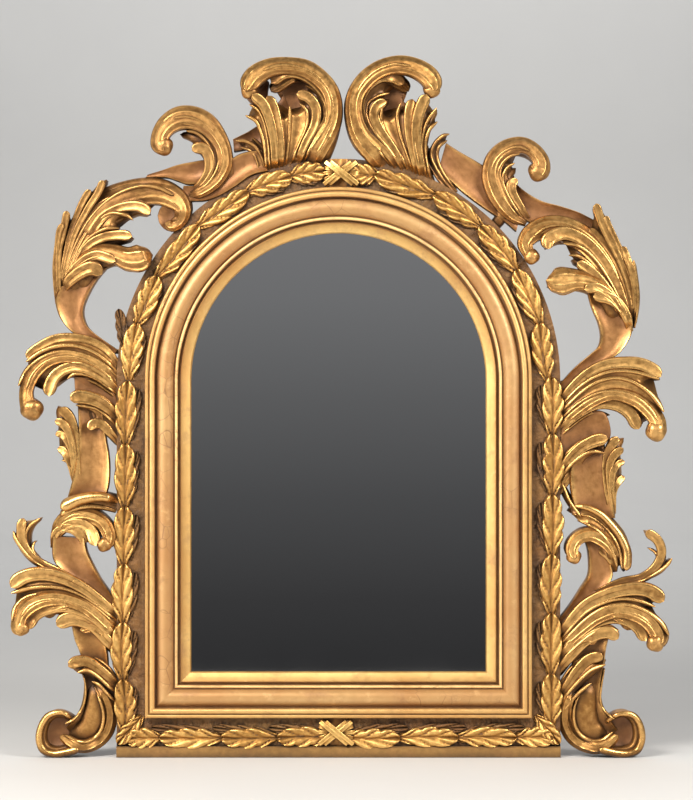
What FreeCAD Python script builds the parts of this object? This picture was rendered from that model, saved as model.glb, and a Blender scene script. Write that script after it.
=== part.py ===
import FreeCAD, Part
import os
from math import cos, hypot, pi, radians, sin

V = FreeCAD.Vector

# Giltwood wall mirror with an arched frame and pierced carving all round.
# Lengths are in millimetres. X runs across, Z runs up from the underside of the base,
# and the back of the frame lies in the wall plane y = 0 with the front facing -Y.
# A depth is a distance forward from the wall.

# Sizes of the frame
SIGHT_HALF_WIDTH = 206.0
SPRING_HEIGHT = 526.0
BASE_HEIGHT = 15.0
BASE_DEPTH = 42.0
BASE_CHAMFER = 2.0
SLIP_WIDTH = 18.0
TORUS_WIDTH = 32.0
BEAD_WIDTH = 14.0
FRIEZE_WIDTH = 40.0
MOULDING_WIDTH = SLIP_WIDTH + TORUS_WIDTH + BEAD_WIDTH + FRIEZE_WIDTH
HALF_WIDTH = SIGHT_HALF_WIDTH + MOULDING_WIDTH
SIGHT_BOTTOM = BASE_HEIGHT + MOULDING_WIDTH

# Depths of the back frame, forward from the wall
FRIEZE_DEPTH = 34.0
BED_DEPTH = 30.0
LEDGE_DEPTH = 20.0
RECESS_DEPTH = 13.7

# Reaches outward from the sight edge
GLASS_REACH = 8.0
REBATE_REACH = 10.0
BOARD_REACH = 17.0
LEDGE_REACH = 18.0
RECESS_REACH = 52.0

# Rise of each applied moulding over its bed
SLIP_RISE = 11.0
TORUS_RISE = 20.0
BEAD_RISE = 22.0
GLUE_LINE = 0.1

# Glass, blocks and backboard
GLASS_THICKNESS = 4.0
BOARD_THICKNESS = 6.0
BLOCK_LENGTH = 30.0
BLOCK_INSET = 1.0
BLOCK_PLACE_SHARES = [1 / 3, 2 / 3, 1]

# Frieze garland
GROUND_THICKNESS = 2.0
LEAF_RISE = 12.0
LEAF_SINK = 1.0
TIE_HALF_WIDTH = 12.0
TIE_RISE = 13.0
RIBBON_GAP = 0.3
RIBBON_THICKNESS = 4.0
RIBBON_WIDTH = 9.0
RIBBON_LENGTH = 46.0
RIBBON_ANGLE = 38.0

# Dowels
FRAME_DOWEL_RADIUS = 5.0
FRAME_DOWEL_LENGTH = 44.0
CARVING_DOWEL_RADIUS = 3.5
CARVING_DOWEL_LENGTH = 30.0
DOWEL_CLEARANCE = 0.05
CARVING_DOWEL_CLEARANCE = 0.3
FRAME_DOWEL_SHARES = [1 / 4, 1 / 2]

# Turn buttons on the back
BUTTON_LENGTH = 40.0
BUTTON_WIDTH = 13.0
BUTTON_THICKNESS = 6.0
BUTTON_REACH = 30.0
BUTTON_GAP = 0.2
BUTTON_BORE_RADIUS = 2.06
BUTTON_SCREW_RADIUS = 2.0
BUTTON_HEAD_RADIUS = 4.5
BUTTON_HEAD_HEIGHT = 3.0
BUTTON_HEAD_GAP = 0.1
BUTTON_SCREW_DEPTH = 11.0
BUTTON_SLOT_HALF_WIDTH = 0.375
BUTTON_SLOT_DEPTH = 1.0

# Hanging plates let into the back
HANGER_REACH = 78.0
HANGER_HEIGHT = 470.0
POCKET_WIDTH = 36.0
POCKET_DEPTH = 9.0
POCKET_ABOVE = 26.0
POCKET_BELOW = 58.0
STRAP_WIDTH = 14.0
STRAP_LENGTH = 50.0
STRAP_THICKNESS = 1.5
BARREL_RADIUS = 3.6
BARREL_BORE_RADIUS = 2.08
RING_WIRE_RADIUS = 2.0
RING_HALF_WIDTH = 12.0
RING_SIDE = 6.0
HANGER_SCREW_RADIUS = 1.6
HANGER_SCREW_HEAD_RADIUS = 3.2
HANGER_SCREW_LENGTH = 13.0
HANGER_SCREW_RISE = 0.05
HANGER_SCREW_SHARES = [1 / 2, 5 / 6]

# Carving
CARVING_DEPTH = 72.0
CARVING_BACK = 4.0
CARVING_SINK = 0.4
CARVING_CLEARANCE = 0.2
LEAF_CLEARANCE = 1.4
CARVING_JOINT = 0.3
ROUNDNESS_SHARE = 2.2
PANEL_SHARE = 0.42

# Moulding sections, from the sight side outward. A pair is a corner as shares of the
# width and of the rise, and a row of four is an arc through its first point to its second.
SLIP_SECTION_SHARES = [
    (0, 0), (0, 0.25), (0.10, 0.45), (0.42, 0.70), (0.74, 1.0),
    (0.80, 0.92), (0.80, 0.55), (1, 0.55), (1, 0),
]
TORUS_SECTION_SHARES = [
    (0, 0), (0, 0.60), (0.07, 0.70, 0.14, 0.60), (0.15, 0.50), (0.18, 0.50),
    (0.54, 1.0, 0.92, 0.58), (0.94, 0.52), (1, 0.52), (1, 0),
]
BEAD_SECTION_SHARES = [
    (0, 0), (0, 0.83), (0.27, 1.0, 0.54, 0.83), (0.56, 0.76), (0.60, 0.76),
    (0.80, 0.88, 1, 0.76), (1, 0),
]

# Outline of one garland leaf: share of its length from the root, share of its half breadth
LEAF_OUTLINE_SHARES = [
    (0, 0.20), (0.10, 0.36), (0.20, 0.62), (0.30, 0.74), (0.37, 0.68), (0.46, 0.86),
    (0.56, 1.0), (0.65, 0.90), (0.74, 0.82), (0.84, 0.66), (0.94, 0.36),
]
LEAF_LEVEL_SHARES = [(0, 1.0), (0.66, 0.86), (1, 0.48)]
LEAF_LINE_SHARE = 0.70
LEAF_HALF_BREADTH_SHARE = 0.31
LEAF_OVERLAP_SHARE = 0.04

# Pixel coordinates read from the photograph: x to the right, y downward
CENTRE_PX = 338.5
BASE_PX = 756.5
SPRING_PX = 380.5
HALF_FRAME_PX = 221.5

# Pixel heights at which the rounded ends of the side leaves lie, from the spring downward
SIDE_TIPS_LEFT = [382, 443, 506, 563.5, 622, 678.6, 730]
SIDE_TIPS_RIGHT = [382, 433.5, 494, 554, 612.6, 673, 727]
# Pixel places of the ends of the leaves in the bottom frieze
BOTTOM_TIPS_LEFT = [142, 157, 221, 277, 324]
BOTTOM_TIPS_RIGHT = [535, 516, 458, 400, 350]
# Degrees from the crown at which the ends of the arch leaves lie
ARCH_TIPS_LEFT = [3.5, 13, 25.5, 42, 60, 74, 89]
ARCH_TIPS_RIGHT = [3.5, 10, 27, 42.4, 58, 74, 89]

# A strand of carving: the depth of its front at the root and at the tip, as shares of the
# carving depth, then its line as pixel coordinates with the breadth in pixels.
UPPER_LEAF_LEFT_SHARES = [
    (0.66, 0.66, [(84, 296, 30), (70, 268, 30), (80, 232, 34), (102, 204, 32), (132, 189, 24),
                  (160, 185, 17), (180, 195, 15), (187, 208, 14), (180, 221, 12), (168, 223, 10)]),
    (0.58, 0.78, [(62, 300, 14), (59, 265, 14), (62, 236, 12), (68, 215, 7)]),
    (0.62, 0.80, [(70, 270, 14), (84, 220, 16), (98, 192, 10), (107, 180, 5)]),
    (0.64, 0.74, [(80, 285, 28), (92, 248, 24), (112, 222, 20), (135, 211, 14), (150, 214, 8)]),
    (0.62, 0.70, [(84, 268, 20), (100, 246, 18), (118, 240, 14), (133, 238, 9)]),
    (0.68, 0.82, [(74, 292, 30), (92, 266, 28), (112, 256, 26), (130, 258, 24), (146, 257, 12)]),
    (0.56, 0.50, [(96, 274, 44), (78, 290, 38), (71, 306, 28), (74, 321, 24), (84, 333, 21),
                  (98, 341, 17), (120, 353, 15)]),
]
MID_LEAF_LEFT_SHARES = [
    (0.56, 0.70, [(122, 372, 18), (104, 358, 16), (88, 349, 17), (70, 345, 17), (52, 348, 17),
                  (36, 357, 13), (28, 364, 6)]),
    (0.54, 0.72, [(122, 388, 16), (106, 373, 15), (88, 363, 14), (66, 359, 13), (46, 364, 13),
                  (32, 376, 13), (25, 392, 13), (30, 407, 17), (37, 413, 12)]),
    (0.52, 0.62, [(122, 396, 14), (104, 380, 13), (86, 371, 13), (68, 372, 13), (54, 380, 13),
                  (49, 394, 9)]),
]
MID_BAND_LEFT_SHARES = [
    (0.58, 0.56, [(91, 402, 30), (92, 425, 28), (93, 440, 30), (92, 455, 34), (91, 470, 36),
                  (89, 485, 38), (87, 502, 42)]),
    (0.56, 0.72, [(123, 424, 18), (108, 408, 17), (94, 400, 16), (80, 399, 13), (73, 401, 6)]),
    (0.52, 0.64, [(122, 446, 12), (109, 432, 12), (98, 425, 11), (92, 431, 7)]),
    (0.52, 0.68, [(80, 478, 14), (74, 455, 18), (70, 432, 18), (62, 416, 14), (58, 406, 7)]),
    (0.68, 0.66, [(62, 505, 9), (78, 499, 12), (92, 496.5, 13), (106, 496.5, 12), (122, 501, 12)]),
]
LOWER_LEAF_LEFT_SHARES = [
    (0.60, 0.66, [(54, 532, 10), (62, 518, 12), (76, 511, 12), (92, 512, 12), (104, 519, 12),
                  (112, 532, 12), (110, 548, 12)]),
    (0.58, 0.66, [(56, 536, 12), (66, 526, 14), (80, 527, 16), (92, 536, 14), (98, 546, 10)]),
    (0.60, 0.50, [(69, 538, 32), (71, 553, 36), (76, 565, 36), (86, 579, 32), (98, 593, 26),
                  (112, 607, 20), (124, 618, 16)]),
    (0.48, 0.56, [(84, 586, 10), (66, 576, 11), (48, 568, 11), (34, 560, 11), (24, 549, 11),
                  (19, 537, 9), (22, 522, 6)]),
    (0.46, 0.58, [(40, 564, 9), (30, 551, 8), (28, 537, 7), (32, 526, 6), (41, 518, 4)]),
    (0.58, 0.74, [(122, 622, 20), (102, 603, 20), (84, 589, 20), (64, 581, 20), (44, 579, 20),
                  (28, 581, 17), (15, 588, 9)]),
    (0.56, 0.76, [(123, 640, 18), (102, 619, 18), (84, 606, 17), (62, 600, 16), (42, 601, 16),
                  (26, 609, 15), (20, 620, 15), (23, 631, 13)]),
    (0.54, 0.62, [(123, 658, 18), (106, 638, 18), (92, 625, 16), (76, 620, 15), (60, 624, 9)]),
]
FOOT_SCROLL_LEFT_SHARES = [
    (0.54, 0.56, [(88, 628, 34), (91, 645, 32), (94, 662, 36), (94, 678, 30), (95, 692, 24)]),
    (0.58, 0.72, [(123, 702, 18), (108, 684, 20), (94, 671, 18), (80, 667, 16), (71, 666, 8)]),
    (0.62, 0.56, [(93, 680, 20), (95, 698, 24), (95, 714, 30), (90, 727, 30), (78, 734, 24),
                  (66, 734, 18)]),
    (0.60, 0.62, [(76, 722, 8), (64, 715, 9), (54, 715, 10), (46, 723, 10), (43, 736, 10),
                  (47, 747, 10), (58, 750, 9), (72, 746, 9), (86, 741, 9)]),
    (0.36, 0.36, [(52, 720, 18), (53, 734, 22), (56, 747, 12)]),
]
SHOULDER_SCROLL_LEFT_SHARES = [
    (0.60, 0.72, [(228, 186, 24), (226, 160, 17), (220, 140, 19), (208, 125, 22), (192, 118, 24),
                  (174, 122, 22), (161, 134, 18), (158, 146, 15), (167, 150, 12)]),
    (0.58, 0.66, [(212, 200, 16), (214, 168, 13), (206, 147, 14), (193, 137, 12), (180, 134, 6)]),
    (0.60, 0.66, [(198, 200, 14), (209, 176, 13), (209, 160, 12), (202, 150, 11), (194, 150, 8)]),
    (0.50, 0.54, [(148, 176, 5), (162, 174, 8), (176, 174, 13), (190, 174, 20), (204, 174, 22),
                  (214, 172, 18)]),
    (0.52, 0.54, [(188, 195, 12), (204, 193, 15), (220, 186, 20), (236, 174, 26), (250, 166, 22),
                  (264, 160, 14)]),
    (0.50, 0.60, [(265, 180, 10), (262, 158, 10), (254, 147, 10), (240, 142, 8)]),
]
CREST_SCROLL_LEFT_SHARES = [
    (0.66, 0.92, [(312, 170, 28), (326, 142, 25), (334, 118, 19), (332, 98, 18), (322, 82, 18),
                  (306, 71, 18), (288, 67, 18), (270, 70, 19), (256, 77, 18), (247, 88, 14),
                  (249, 95, 9)]),
    (0.64, 0.78, [(298, 170, 22), (308, 142, 19), (314, 120, 16), (309, 104, 13), (298, 98, 8)]),
    (0.60, 0.70, [(290, 174, 12), (290, 145, 10), (290, 125, 9), (290, 108, 6)]),
    (0.64, 0.86, [(276, 178, 18), (277, 148, 18), (272, 124, 17), (264, 106, 13), (257, 97, 7)]),
    (0.58, 0.76, [(268, 182, 14), (267, 146, 14), (262, 124, 13), (250, 112, 8)]),
]
CREST_SCROLL_RIGHT_SHARES = [
    (0.66, 0.92, [(402, 180, 28), (378, 158, 24), (360, 140, 22), (352, 118, 18.5), (353, 98, 18),
                  (364, 82, 18), (380, 71, 18), (398, 67, 18), (414, 69, 18), (428, 77, 17),
                  (435, 88, 12)]),
    (0.64, 0.78, [(406, 184, 22), (388, 150, 19), (376, 125, 16), (379, 108, 13), (389, 100, 8)]),
    (0.60, 0.70, [(413, 184, 12), (404, 152, 11), (399, 132, 10), (400, 106, 6)]),
    (0.64, 0.86, [(423, 190, 18), (415, 154, 18), (414, 132, 17), (418, 112, 14), (425, 97, 7)]),
    (0.58, 0.76, [(434, 194, 14), (423, 158, 12), (424, 138, 12), (430, 121, 10), (437, 110, 5)]),
]
SHOULDER_SCROLL_RIGHT_SHARES = [
    (0.52, 0.50, [(442, 164, 24), (456, 170, 28), (468, 180, 30), (480, 191, 32), (494, 205, 30),
                  (508, 220, 22)]),
    (0.60, 0.72, [(504, 240, 26), (500, 212, 24), (493, 190, 23), (492, 172, 22), (500, 157, 20),
                  (514, 149, 17), (529, 152, 16), (539, 161, 16), (539, 172, 17)]),
    (0.58, 0.66, [(530, 226, 16), (518, 208, 16), (508, 191, 14), (508, 176, 12), (516, 168, 8)]),
    (0.50, 0.50, [(512, 186, 12), (524, 198, 17), (542, 207, 14), (558, 211, 10), (576, 215, 7),
                  (588, 221, 4)]),
    (0.50, 0.60, [(454, 192, 12), (439, 170, 11), (433, 154, 11), (440, 139, 8), (447, 136, 5)]),
]
UPPER_LEAF_RIGHT_SHARES = [
    (0.58, 0.80, [(632, 318, 12), (630, 290, 16), (621, 262, 17), (609, 236, 16), (600, 218, 12),
                  (595, 205, 6)]),
    (0.56, 0.74, [(632, 328, 12), (635, 300, 10), (632, 276, 8), (629, 261, 4)]),
    (0.66, 0.66, [(622, 320, 30), (614, 282, 28), (598, 252, 26), (578, 233, 24), (556, 226, 20),
                  (537, 232, 17), (527, 244, 14), (531, 256, 12)]),
    (0.64, 0.74, [(616, 304, 26), (604, 270, 22), (586, 248, 20), (566, 238, 15), (550, 241, 15),
                  (546, 249, 8)]),
    (0.62, 0.70, [(624, 318, 24), (610, 286, 20), (594, 268, 16), (572, 260, 10)]),
    (0.68, 0.82, [(622, 322, 28), (606, 296, 26), (590, 284, 26), (572, 280, 26), (556, 283, 18),
                  (548, 287, 10)]),
    (0.56, 0.50, [(606, 290, 44), (612, 310, 40), (616, 326, 32), (613, 340, 26), (602, 351, 20),
                  (588, 361, 16), (574, 373, 15), (556, 390, 15)]),
]
MID_LEAF_RIGHT_SHARES = [
    (0.56, 0.70, [(555, 412, 18), (572, 392, 18), (590, 377, 18), (610, 369, 18), (630, 367, 18),
                  (646, 372, 14), (660, 380, 6)]),
    (0.54, 0.70, [(555, 420, 14), (578, 396, 13), (598, 384, 13), (620, 381, 13), (640, 388, 12),
                  (654, 399, 11), (662, 411, 7)]),
    (0.54, 0.72, [(555, 426, 16), (575, 404, 14), (597, 393, 13), (618, 391, 13), (638, 397, 13),
                  (652, 408, 13), (659, 421, 13), (655, 432, 17)]),
    (0.52, 0.62, [(555, 436, 16), (576, 413, 15), (598, 401, 14), (618, 402, 14), (634, 411, 13),
                  (643, 424, 10)]),
]
MID_BAND_RIGHT_SHARES = [
    (0.56, 0.72, [(554, 482, 18), (568, 463, 18), (580, 451, 17), (594, 444, 15), (607, 440, 8)]),
    (0.58, 0.56, [(590, 450, 28), (588, 468, 36), (590, 484, 42), (593, 498, 42), (597, 514, 38)]),
    (0.52, 0.68, [(608, 506, 14), (611, 480, 14), (612, 460, 14), (617, 446, 12), (624, 438, 5)]),
    (0.52, 0.56, [(554, 474, 12), (564, 490, 10), (572, 504, 10), (584, 518, 10)]),
]
LOWER_LEAF_RIGHT_SHARES = [
    (0.60, 0.64, [(568, 511, 9), (584, 509, 11), (600, 514, 12), (612, 524, 12), (622, 538, 12),
                  (626, 554, 10), (624, 572, 7)]),
    (0.62, 0.70, [(618, 566, 12), (612, 546, 14), (600, 536, 16), (586, 532, 14), (574, 538, 12),
                  (569, 548, 12), (573, 557, 11)]),
    (0.60, 0.50, [(594, 532, 24), (597, 552, 28), (600, 568, 28), (597, 580, 26), (588, 592, 20),
                  (577, 606, 18), (566, 620, 18), (552, 636, 16)]),
    (0.48, 0.56, [(600, 592, 9), (622, 583, 10), (643, 579, 10), (657, 569, 10), (663, 556, 9),
                  (658, 541, 8), (645, 531, 5)]),
    (0.46, 0.56, [(640, 580, 7), (652, 576, 7), (663, 569, 7), (671, 559, 4)]),
    (0.58, 0.74, [(553, 646, 20), (572, 618, 19), (590, 603, 19), (612, 594, 19), (634, 592, 19),
                  (650, 596, 13), (662, 602, 6)]),
    (0.56, 0.76, [(553, 656, 18), (574, 629, 16), (596, 612, 15), (620, 606, 15), (642, 612, 14),
                  (657, 623, 14), (663, 637, 14), (656, 647, 16)]),
    (0.54, 0.66, [(553, 664, 14), (576, 637, 14), (596, 620, 13), (616, 614, 13), (634, 620, 13),
                  (645, 631, 10), (645, 641, 6)]),
    (0.54, 0.62, [(553, 678, 16), (572, 652, 16), (586, 638, 15), (602, 631, 14), (616, 636, 8)]),
]
FOOT_SCROLL_RIGHT_SHARES = [
    (0.54, 0.56, [(593, 632, 30), (590, 650, 32), (588, 666, 30), (585, 684, 26)]),
    (0.58, 0.72, [(553, 714, 18), (570, 691, 20), (584, 674, 18), (597, 665, 14), (606, 660, 6)]),
    (0.62, 0.56, [(588, 678, 24), (585, 698, 30), (583, 714, 36), (588, 728, 34), (600, 736, 26),
                  (612, 737, 18)]),
    (0.60, 0.62, [(602, 726, 8), (614, 716, 9), (625, 714, 9), (634, 721, 10), (637, 734, 10),
                  (633, 746, 10), (621, 750, 9), (607, 748, 9), (594, 746, 9)]),
    (0.36, 0.36, [(627, 720, 16), (627, 734, 22), (624, 747, 12)]),
]

# Recessed ground behind the open ribs of a scroll, as pixel outlines
PANELS = {
    "crest_scroll_left": [(266, 178), (268, 150), (264, 118), (276, 84), (300, 76), (322, 88),
                          (328, 110), (322, 140), (306, 172)],
    "crest_scroll_right": [(432, 190), (422, 150), (420, 118), (408, 88), (384, 78), (362, 90),
                           (357, 112), (366, 142), (392, 178)],
}

# Joints between neighbouring carvings, as pixel lines, the carvings on either side
# and the way from the line to the second of them, in pixels.
CARVING_JOINTS = [
    ("crest_scroll_left", "crest_scroll_right", [(343.2, 190), (343.2, 30)], (60, 0)),
    ("crest_scroll_left", "shoulder_scroll_left",
     [(270, 200), (267, 160), (264, 140), (257, 127), (236, 121)], (-50, 40)),
    ("crest_scroll_right", "shoulder_scroll_right",
     [(424, 200), (428, 170), (427, 155), (430, 142), (438, 132), (456, 127)], (40, 50)),
    ("shoulder_scroll_left", "upper_leaf_left",
     [(130, 177), (150, 178), (165, 179), (178, 182), (189, 187), (198, 200), (198, 222)],
     (-40, 50)),
    ("shoulder_scroll_right", "upper_leaf_right",
     [(496, 246), (504, 234), (512, 228), (524, 220), (540, 213.5), (560, 213), (576, 217),
      (600, 226)], (0, 60)),
    ("upper_leaf_left", "mid_leaf_left", [(62, 328), (68, 331), (126, 362)], (0, 30)),
    ("upper_leaf_right", "mid_leaf_right",
     [(550, 408), (560, 398), (568, 388), (576, 378), (586, 370), (598, 363.5), (612, 359),
      (626, 355)], (0, 40)),
    ("mid_leaf_left", "mid_band_left", [(70, 379), (80, 384), (126, 408)], (0, 30)),
    ("mid_leaf_right", "mid_band_right", [(548, 440), (575, 438), (590, 431), (610, 426)], (0, 30)),
    ("mid_band_left", "lower_leaf_left",
     [(46, 519), (62, 511), (75, 506), (90, 505), (104, 508), (126, 516)], (0, 40)),
    ("mid_band_right", "lower_leaf_right",
     [(550, 500), (572, 502), (585, 503.5), (598, 508), (610, 516), (626, 530)], (0, 40)),
    ("lower_leaf_left", "foot_scroll_left",
     [(56, 629), (72, 629), (84, 631), (94, 638), (104, 649), (112, 661), (126, 681)], (0, 50)),
    ("lower_leaf_right", "foot_scroll_right",
     [(548, 692), (558, 677), (568, 663), (578, 650), (590, 641), (603, 635), (622, 641)], (0, 50)),
]

CARVINGS = {
    "upper_leaf_left": UPPER_LEAF_LEFT_SHARES,
    "mid_leaf_left": MID_LEAF_LEFT_SHARES,
    "mid_band_left": MID_BAND_LEFT_SHARES,
    "lower_leaf_left": LOWER_LEAF_LEFT_SHARES,
    "foot_scroll_left": FOOT_SCROLL_LEFT_SHARES,
    "shoulder_scroll_left": SHOULDER_SCROLL_LEFT_SHARES,
    "crest_scroll_left": CREST_SCROLL_LEFT_SHARES,
    "crest_scroll_right": CREST_SCROLL_RIGHT_SHARES,
    "shoulder_scroll_right": SHOULDER_SCROLL_RIGHT_SHARES,
    "upper_leaf_right": UPPER_LEAF_RIGHT_SHARES,
    "mid_leaf_right": MID_LEAF_RIGHT_SHARES,
    "mid_band_right": MID_BAND_RIGHT_SHARES,
    "lower_leaf_right": LOWER_LEAF_RIGHT_SHARES,
    "foot_scroll_right": FOOT_SCROLL_RIGHT_SHARES,
}

# Dowels of the carvings: pixel height on the straight sides, degrees from the crown on the arch
SIDE_DOWELS = {
    "mid_leaf_left": [386],
    "mid_band_left": [427, 500],
    "lower_leaf_left": [616, 636],
    "foot_scroll_left": [701],
    "upper_leaf_right": [383],
    "mid_leaf_right": [416],
    "mid_band_right": [482],
    "lower_leaf_right": [642, 658],
    "foot_scroll_right": [709],
}
ARCH_DOWELS = {
    "upper_leaf_left": [-82.5],
    "shoulder_scroll_left": [-35, -29],
    "crest_scroll_left": [-16, -10],
    "crest_scroll_right": [16.5, 21.5],
    "shoulder_scroll_right": [31, 45],
}

# Turn buttons: degrees from the crown on the arch, pixel heights on the sides, pixel place below
ARCH_BUTTONS = [-50, 50]
SIDE_BUTTON_PX = 560
BOTTOM_BUTTONS_PX = [270, 407]

SPRING_JOINT_ANGLES = [-90, -30, 30, 90]
PIXEL = HALF_WIDTH / HALF_FRAME_PX
FAR = HALF_WIDTH + HALF_WIDTH
NODES = {}


def across(px):
    return (px - CENTRE_PX) * PIXEL


def height(py):
    if py < SPRING_PX:
        return SPRING_HEIGHT + (SPRING_PX - py) * PIXEL
    return SPRING_HEIGHT * (BASE_PX - py) / (BASE_PX - SPRING_PX)


def on_arch(degrees, radius, depth):
    """Point of the arch at an angle from the crown, positive to the right."""
    a = radians(degrees)
    return V(radius * sin(a), -depth, SPRING_HEIGHT + radius * cos(a))


def section_face(rows, place):
    """Planar face from corner and arc rows, set in space by place(reach, depth)."""
    edges = []
    start = place(*rows[0][:2])
    here = start
    for row in rows[1:]:
        end = place(*row[-2:])
        if len(row) == 4:
            edges.append(Part.Arc(here, place(*row[:2]), end).toShape())
        else:
            edges.append(Part.makeLine(here, end))
        here = end
    if here.distanceToPoint(start) > GLUE_LINE / 2:
        edges.append(Part.makeLine(here, start))
    return Part.Face(Part.Wire(edges))


def scaled(rows, reach, width, depth, rise):
    """Section shares turned into reaches from the sight edge and depths from the wall."""
    out = []
    for row in rows:
        out.append(tuple(
            reach + width * share if i % 2 == 0 else depth + rise * share
            for i, share in enumerate(row)
        ))
    return out


def prism(points, near, far):
    """Upright outline in x and z between two depths."""
    corners = [V(x, -near, z) for x, z in points]
    face = Part.Face(Part.makePolygon(corners + corners[:1]))
    return face.extrude(V(0, near - far, 0))


def mitre_block(side, below):
    """Block that clears one bottom corner on one side of its mitre."""
    m = MOULDING_WIDTH
    inner = side * (SIGHT_HALF_WIDTH - m)
    outer = side * (SIGHT_HALF_WIDTH + m + m)
    top = SIGHT_BOTTOM + m
    low = SIGHT_BOTTOM - m - m
    corner = (inner, low) if below else (outer, top)
    return prism([(inner, top), (outer, low), corner], -CARVING_DEPTH, CARVING_DEPTH)


def side_length(rows, side):
    """Upright length of a moulding, from its bottom mitre to the spring of the arch."""
    low = SIGHT_BOTTOM - MOULDING_WIDTH
    face = section_face(rows, lambda r, d: V(side * (SIGHT_HALF_WIDTH + r), -d, low))
    return face.extrude(V(0, 0, SPRING_HEIGHT - low)).cut(mitre_block(side, True))


def bottom_length(rows):
    """Level length of a moulding between its two mitres."""
    face = section_face(rows, lambda r, d: V(-HALF_WIDTH, -d, SIGHT_BOTTOM - r))
    bar = face.extrude(V(HALF_WIDTH + HALF_WIDTH, 0, 0))
    return bar.cut(mitre_block(-1, False)).cut(mitre_block(1, False))


def arch_length(rows, start, end):
    """Curved length of a moulding between two angles from the crown."""
    def place(r, d):
        return on_arch(end, SIGHT_HALF_WIDTH + r, d)
    face = section_face(rows, place)
    return face.revolve(V(0, 0, SPRING_HEIGHT), V(0, -1, 0), end - start)


def arched_plate(reach, near, far):
    """Plate of the sight outline grown outward by a reach."""
    half = SIGHT_HALF_WIDTH + reach
    foot = SIGHT_BOTTOM - reach
    left = V(-half, -near, SPRING_HEIGHT)
    right = V(half, -near, SPRING_HEIGHT)
    edges = [
        Part.makeLine(V(-half, -near, foot), V(half, -near, foot)),
        Part.makeLine(V(half, -near, foot), right),
        Part.Arc(right, V(0, -near, SPRING_HEIGHT + half), left).toShape(),
        Part.makeLine(left, V(-half, -near, foot)),
    ]
    return Part.Face(Part.Wire(edges)).extrude(V(0, near - far, 0))


def rod(radius, start, end):
    return Part.makeCylinder(radius, (end - start).Length, start, end - start)


def peg(radius, point, direction, length):
    """Dowel with its middle at a point."""
    half = V(direction).normalize() * (length / 2)
    return rod(radius, point - half, point + half)


def box_around(x, z, half_x, half_z, near, far):
    return prism([(x - half_x, z - half_z), (x + half_x, z - half_z),
                  (x + half_x, z + half_z), (x - half_x, z + half_z)], near, far)


def fused(shapes):
    shapes = list(shapes)
    whole = shapes[0].multiFuse(shapes[1:]) if len(shapes) > 1 else shapes[0]
    return whole.removeSplitter()


def grouped(shapes):
    solids = [s for shape in shapes for s in shape.Solids]
    return solids[0] if len(solids) == 1 else Part.makeCompound(solids)


# Back frame: rails with a glass rebate, a ledge for the backboard and a recess for the buttons
BACK_ROWS = [
    (REBATE_REACH, LEDGE_DEPTH), (REBATE_REACH, BED_DEPTH),
    (MOULDING_WIDTH - FRIEZE_WIDTH, BED_DEPTH), (MOULDING_WIDTH - FRIEZE_WIDTH, FRIEZE_DEPTH),
    (MOULDING_WIDTH, FRIEZE_DEPTH), (MOULDING_WIDTH, 0), (RECESS_REACH, 0),
    (RECESS_REACH, RECESS_DEPTH), (LEDGE_REACH, RECESS_DEPTH), (LEDGE_REACH, LEDGE_DEPTH),
]
NODES["back_frame_left_stile"] = side_length(BACK_ROWS, -1)
NODES["back_frame_right_stile"] = side_length(BACK_ROWS, 1)
NODES["back_frame_bottom_rail"] = bottom_length(BACK_ROWS)
ARCH_SEGMENTS = zip(["left", "crown", "right"], SPRING_JOINT_ANGLES, SPRING_JOINT_ANGLES[1:])
for name, start, end in ARCH_SEGMENTS:
    NODES["back_frame_arch_" + name] = arch_length(BACK_ROWS, start, end)

# Base board
base = prism([(-HALF_WIDTH, 0), (HALF_WIDTH, 0), (HALF_WIDTH, BASE_HEIGHT),
              (-HALF_WIDTH, BASE_HEIGHT)], 0, BASE_DEPTH)
front_edges = [e for e in base.Edges
               if abs(e.BoundBox.YMax + BASE_DEPTH) < GLUE_LINE
               and e.BoundBox.XLength > HALF_WIDTH and e.BoundBox.ZMin > 0]
NODES["base_board"] = base.makeChamfer(BASE_CHAMFER, front_edges)

# Applied mouldings: slip, torus and bead
MOULDINGS = [
    ("slip", SLIP_SECTION_SHARES, 0, SLIP_WIDTH, SLIP_RISE),
    ("torus", TORUS_SECTION_SHARES, SLIP_WIDTH, TORUS_WIDTH, TORUS_RISE),
    ("bead", BEAD_SECTION_SHARES, SLIP_WIDTH + TORUS_WIDTH, BEAD_WIDTH, BEAD_RISE),
]
for name, section, reach, width, rise in MOULDINGS:
    rows = scaled(section, reach, width - GLUE_LINE, BED_DEPTH, rise)
    NODES[name + "_left"] = side_length(rows, -1)
    NODES[name + "_right"] = side_length(rows, 1)
    NODES[name + "_bottom"] = bottom_length(rows)
    NODES[name + "_arch"] = arch_length(rows, -90, 90)

# Mirror plate, backboard and the blocks between them
glass_back = BED_DEPTH - GLASS_THICKNESS
NODES["mirror_plate"] = arched_plate(GLASS_REACH, glass_back, BED_DEPTH)
NODES["backboard"] = arched_plate(BOARD_REACH, LEDGE_DEPTH - BOARD_THICKNESS, LEDGE_DEPTH)
block_half_width = (REBATE_REACH - BLOCK_INSET) / 2
block_line = SIGHT_HALF_WIDTH + block_half_width
blocks = []
for side in (-1, 1):
    for share in BLOCK_PLACE_SHARES:
        z = SIGHT_BOTTOM + (SPRING_HEIGHT - BLOCK_LENGTH - SIGHT_BOTTOM) * share
        blocks.append(box_around(side * block_line, z, block_half_width, BLOCK_LENGTH / 2,
                                 LEDGE_DEPTH, glass_back))
    blocks.append(box_around(side * SIGHT_HALF_WIDTH / 2, SIGHT_BOTTOM - block_half_width,
                             BLOCK_LENGTH / 2, block_half_width, LEDGE_DEPTH, glass_back))
NODES["plate_blocks"] = grouped(blocks)


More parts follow.
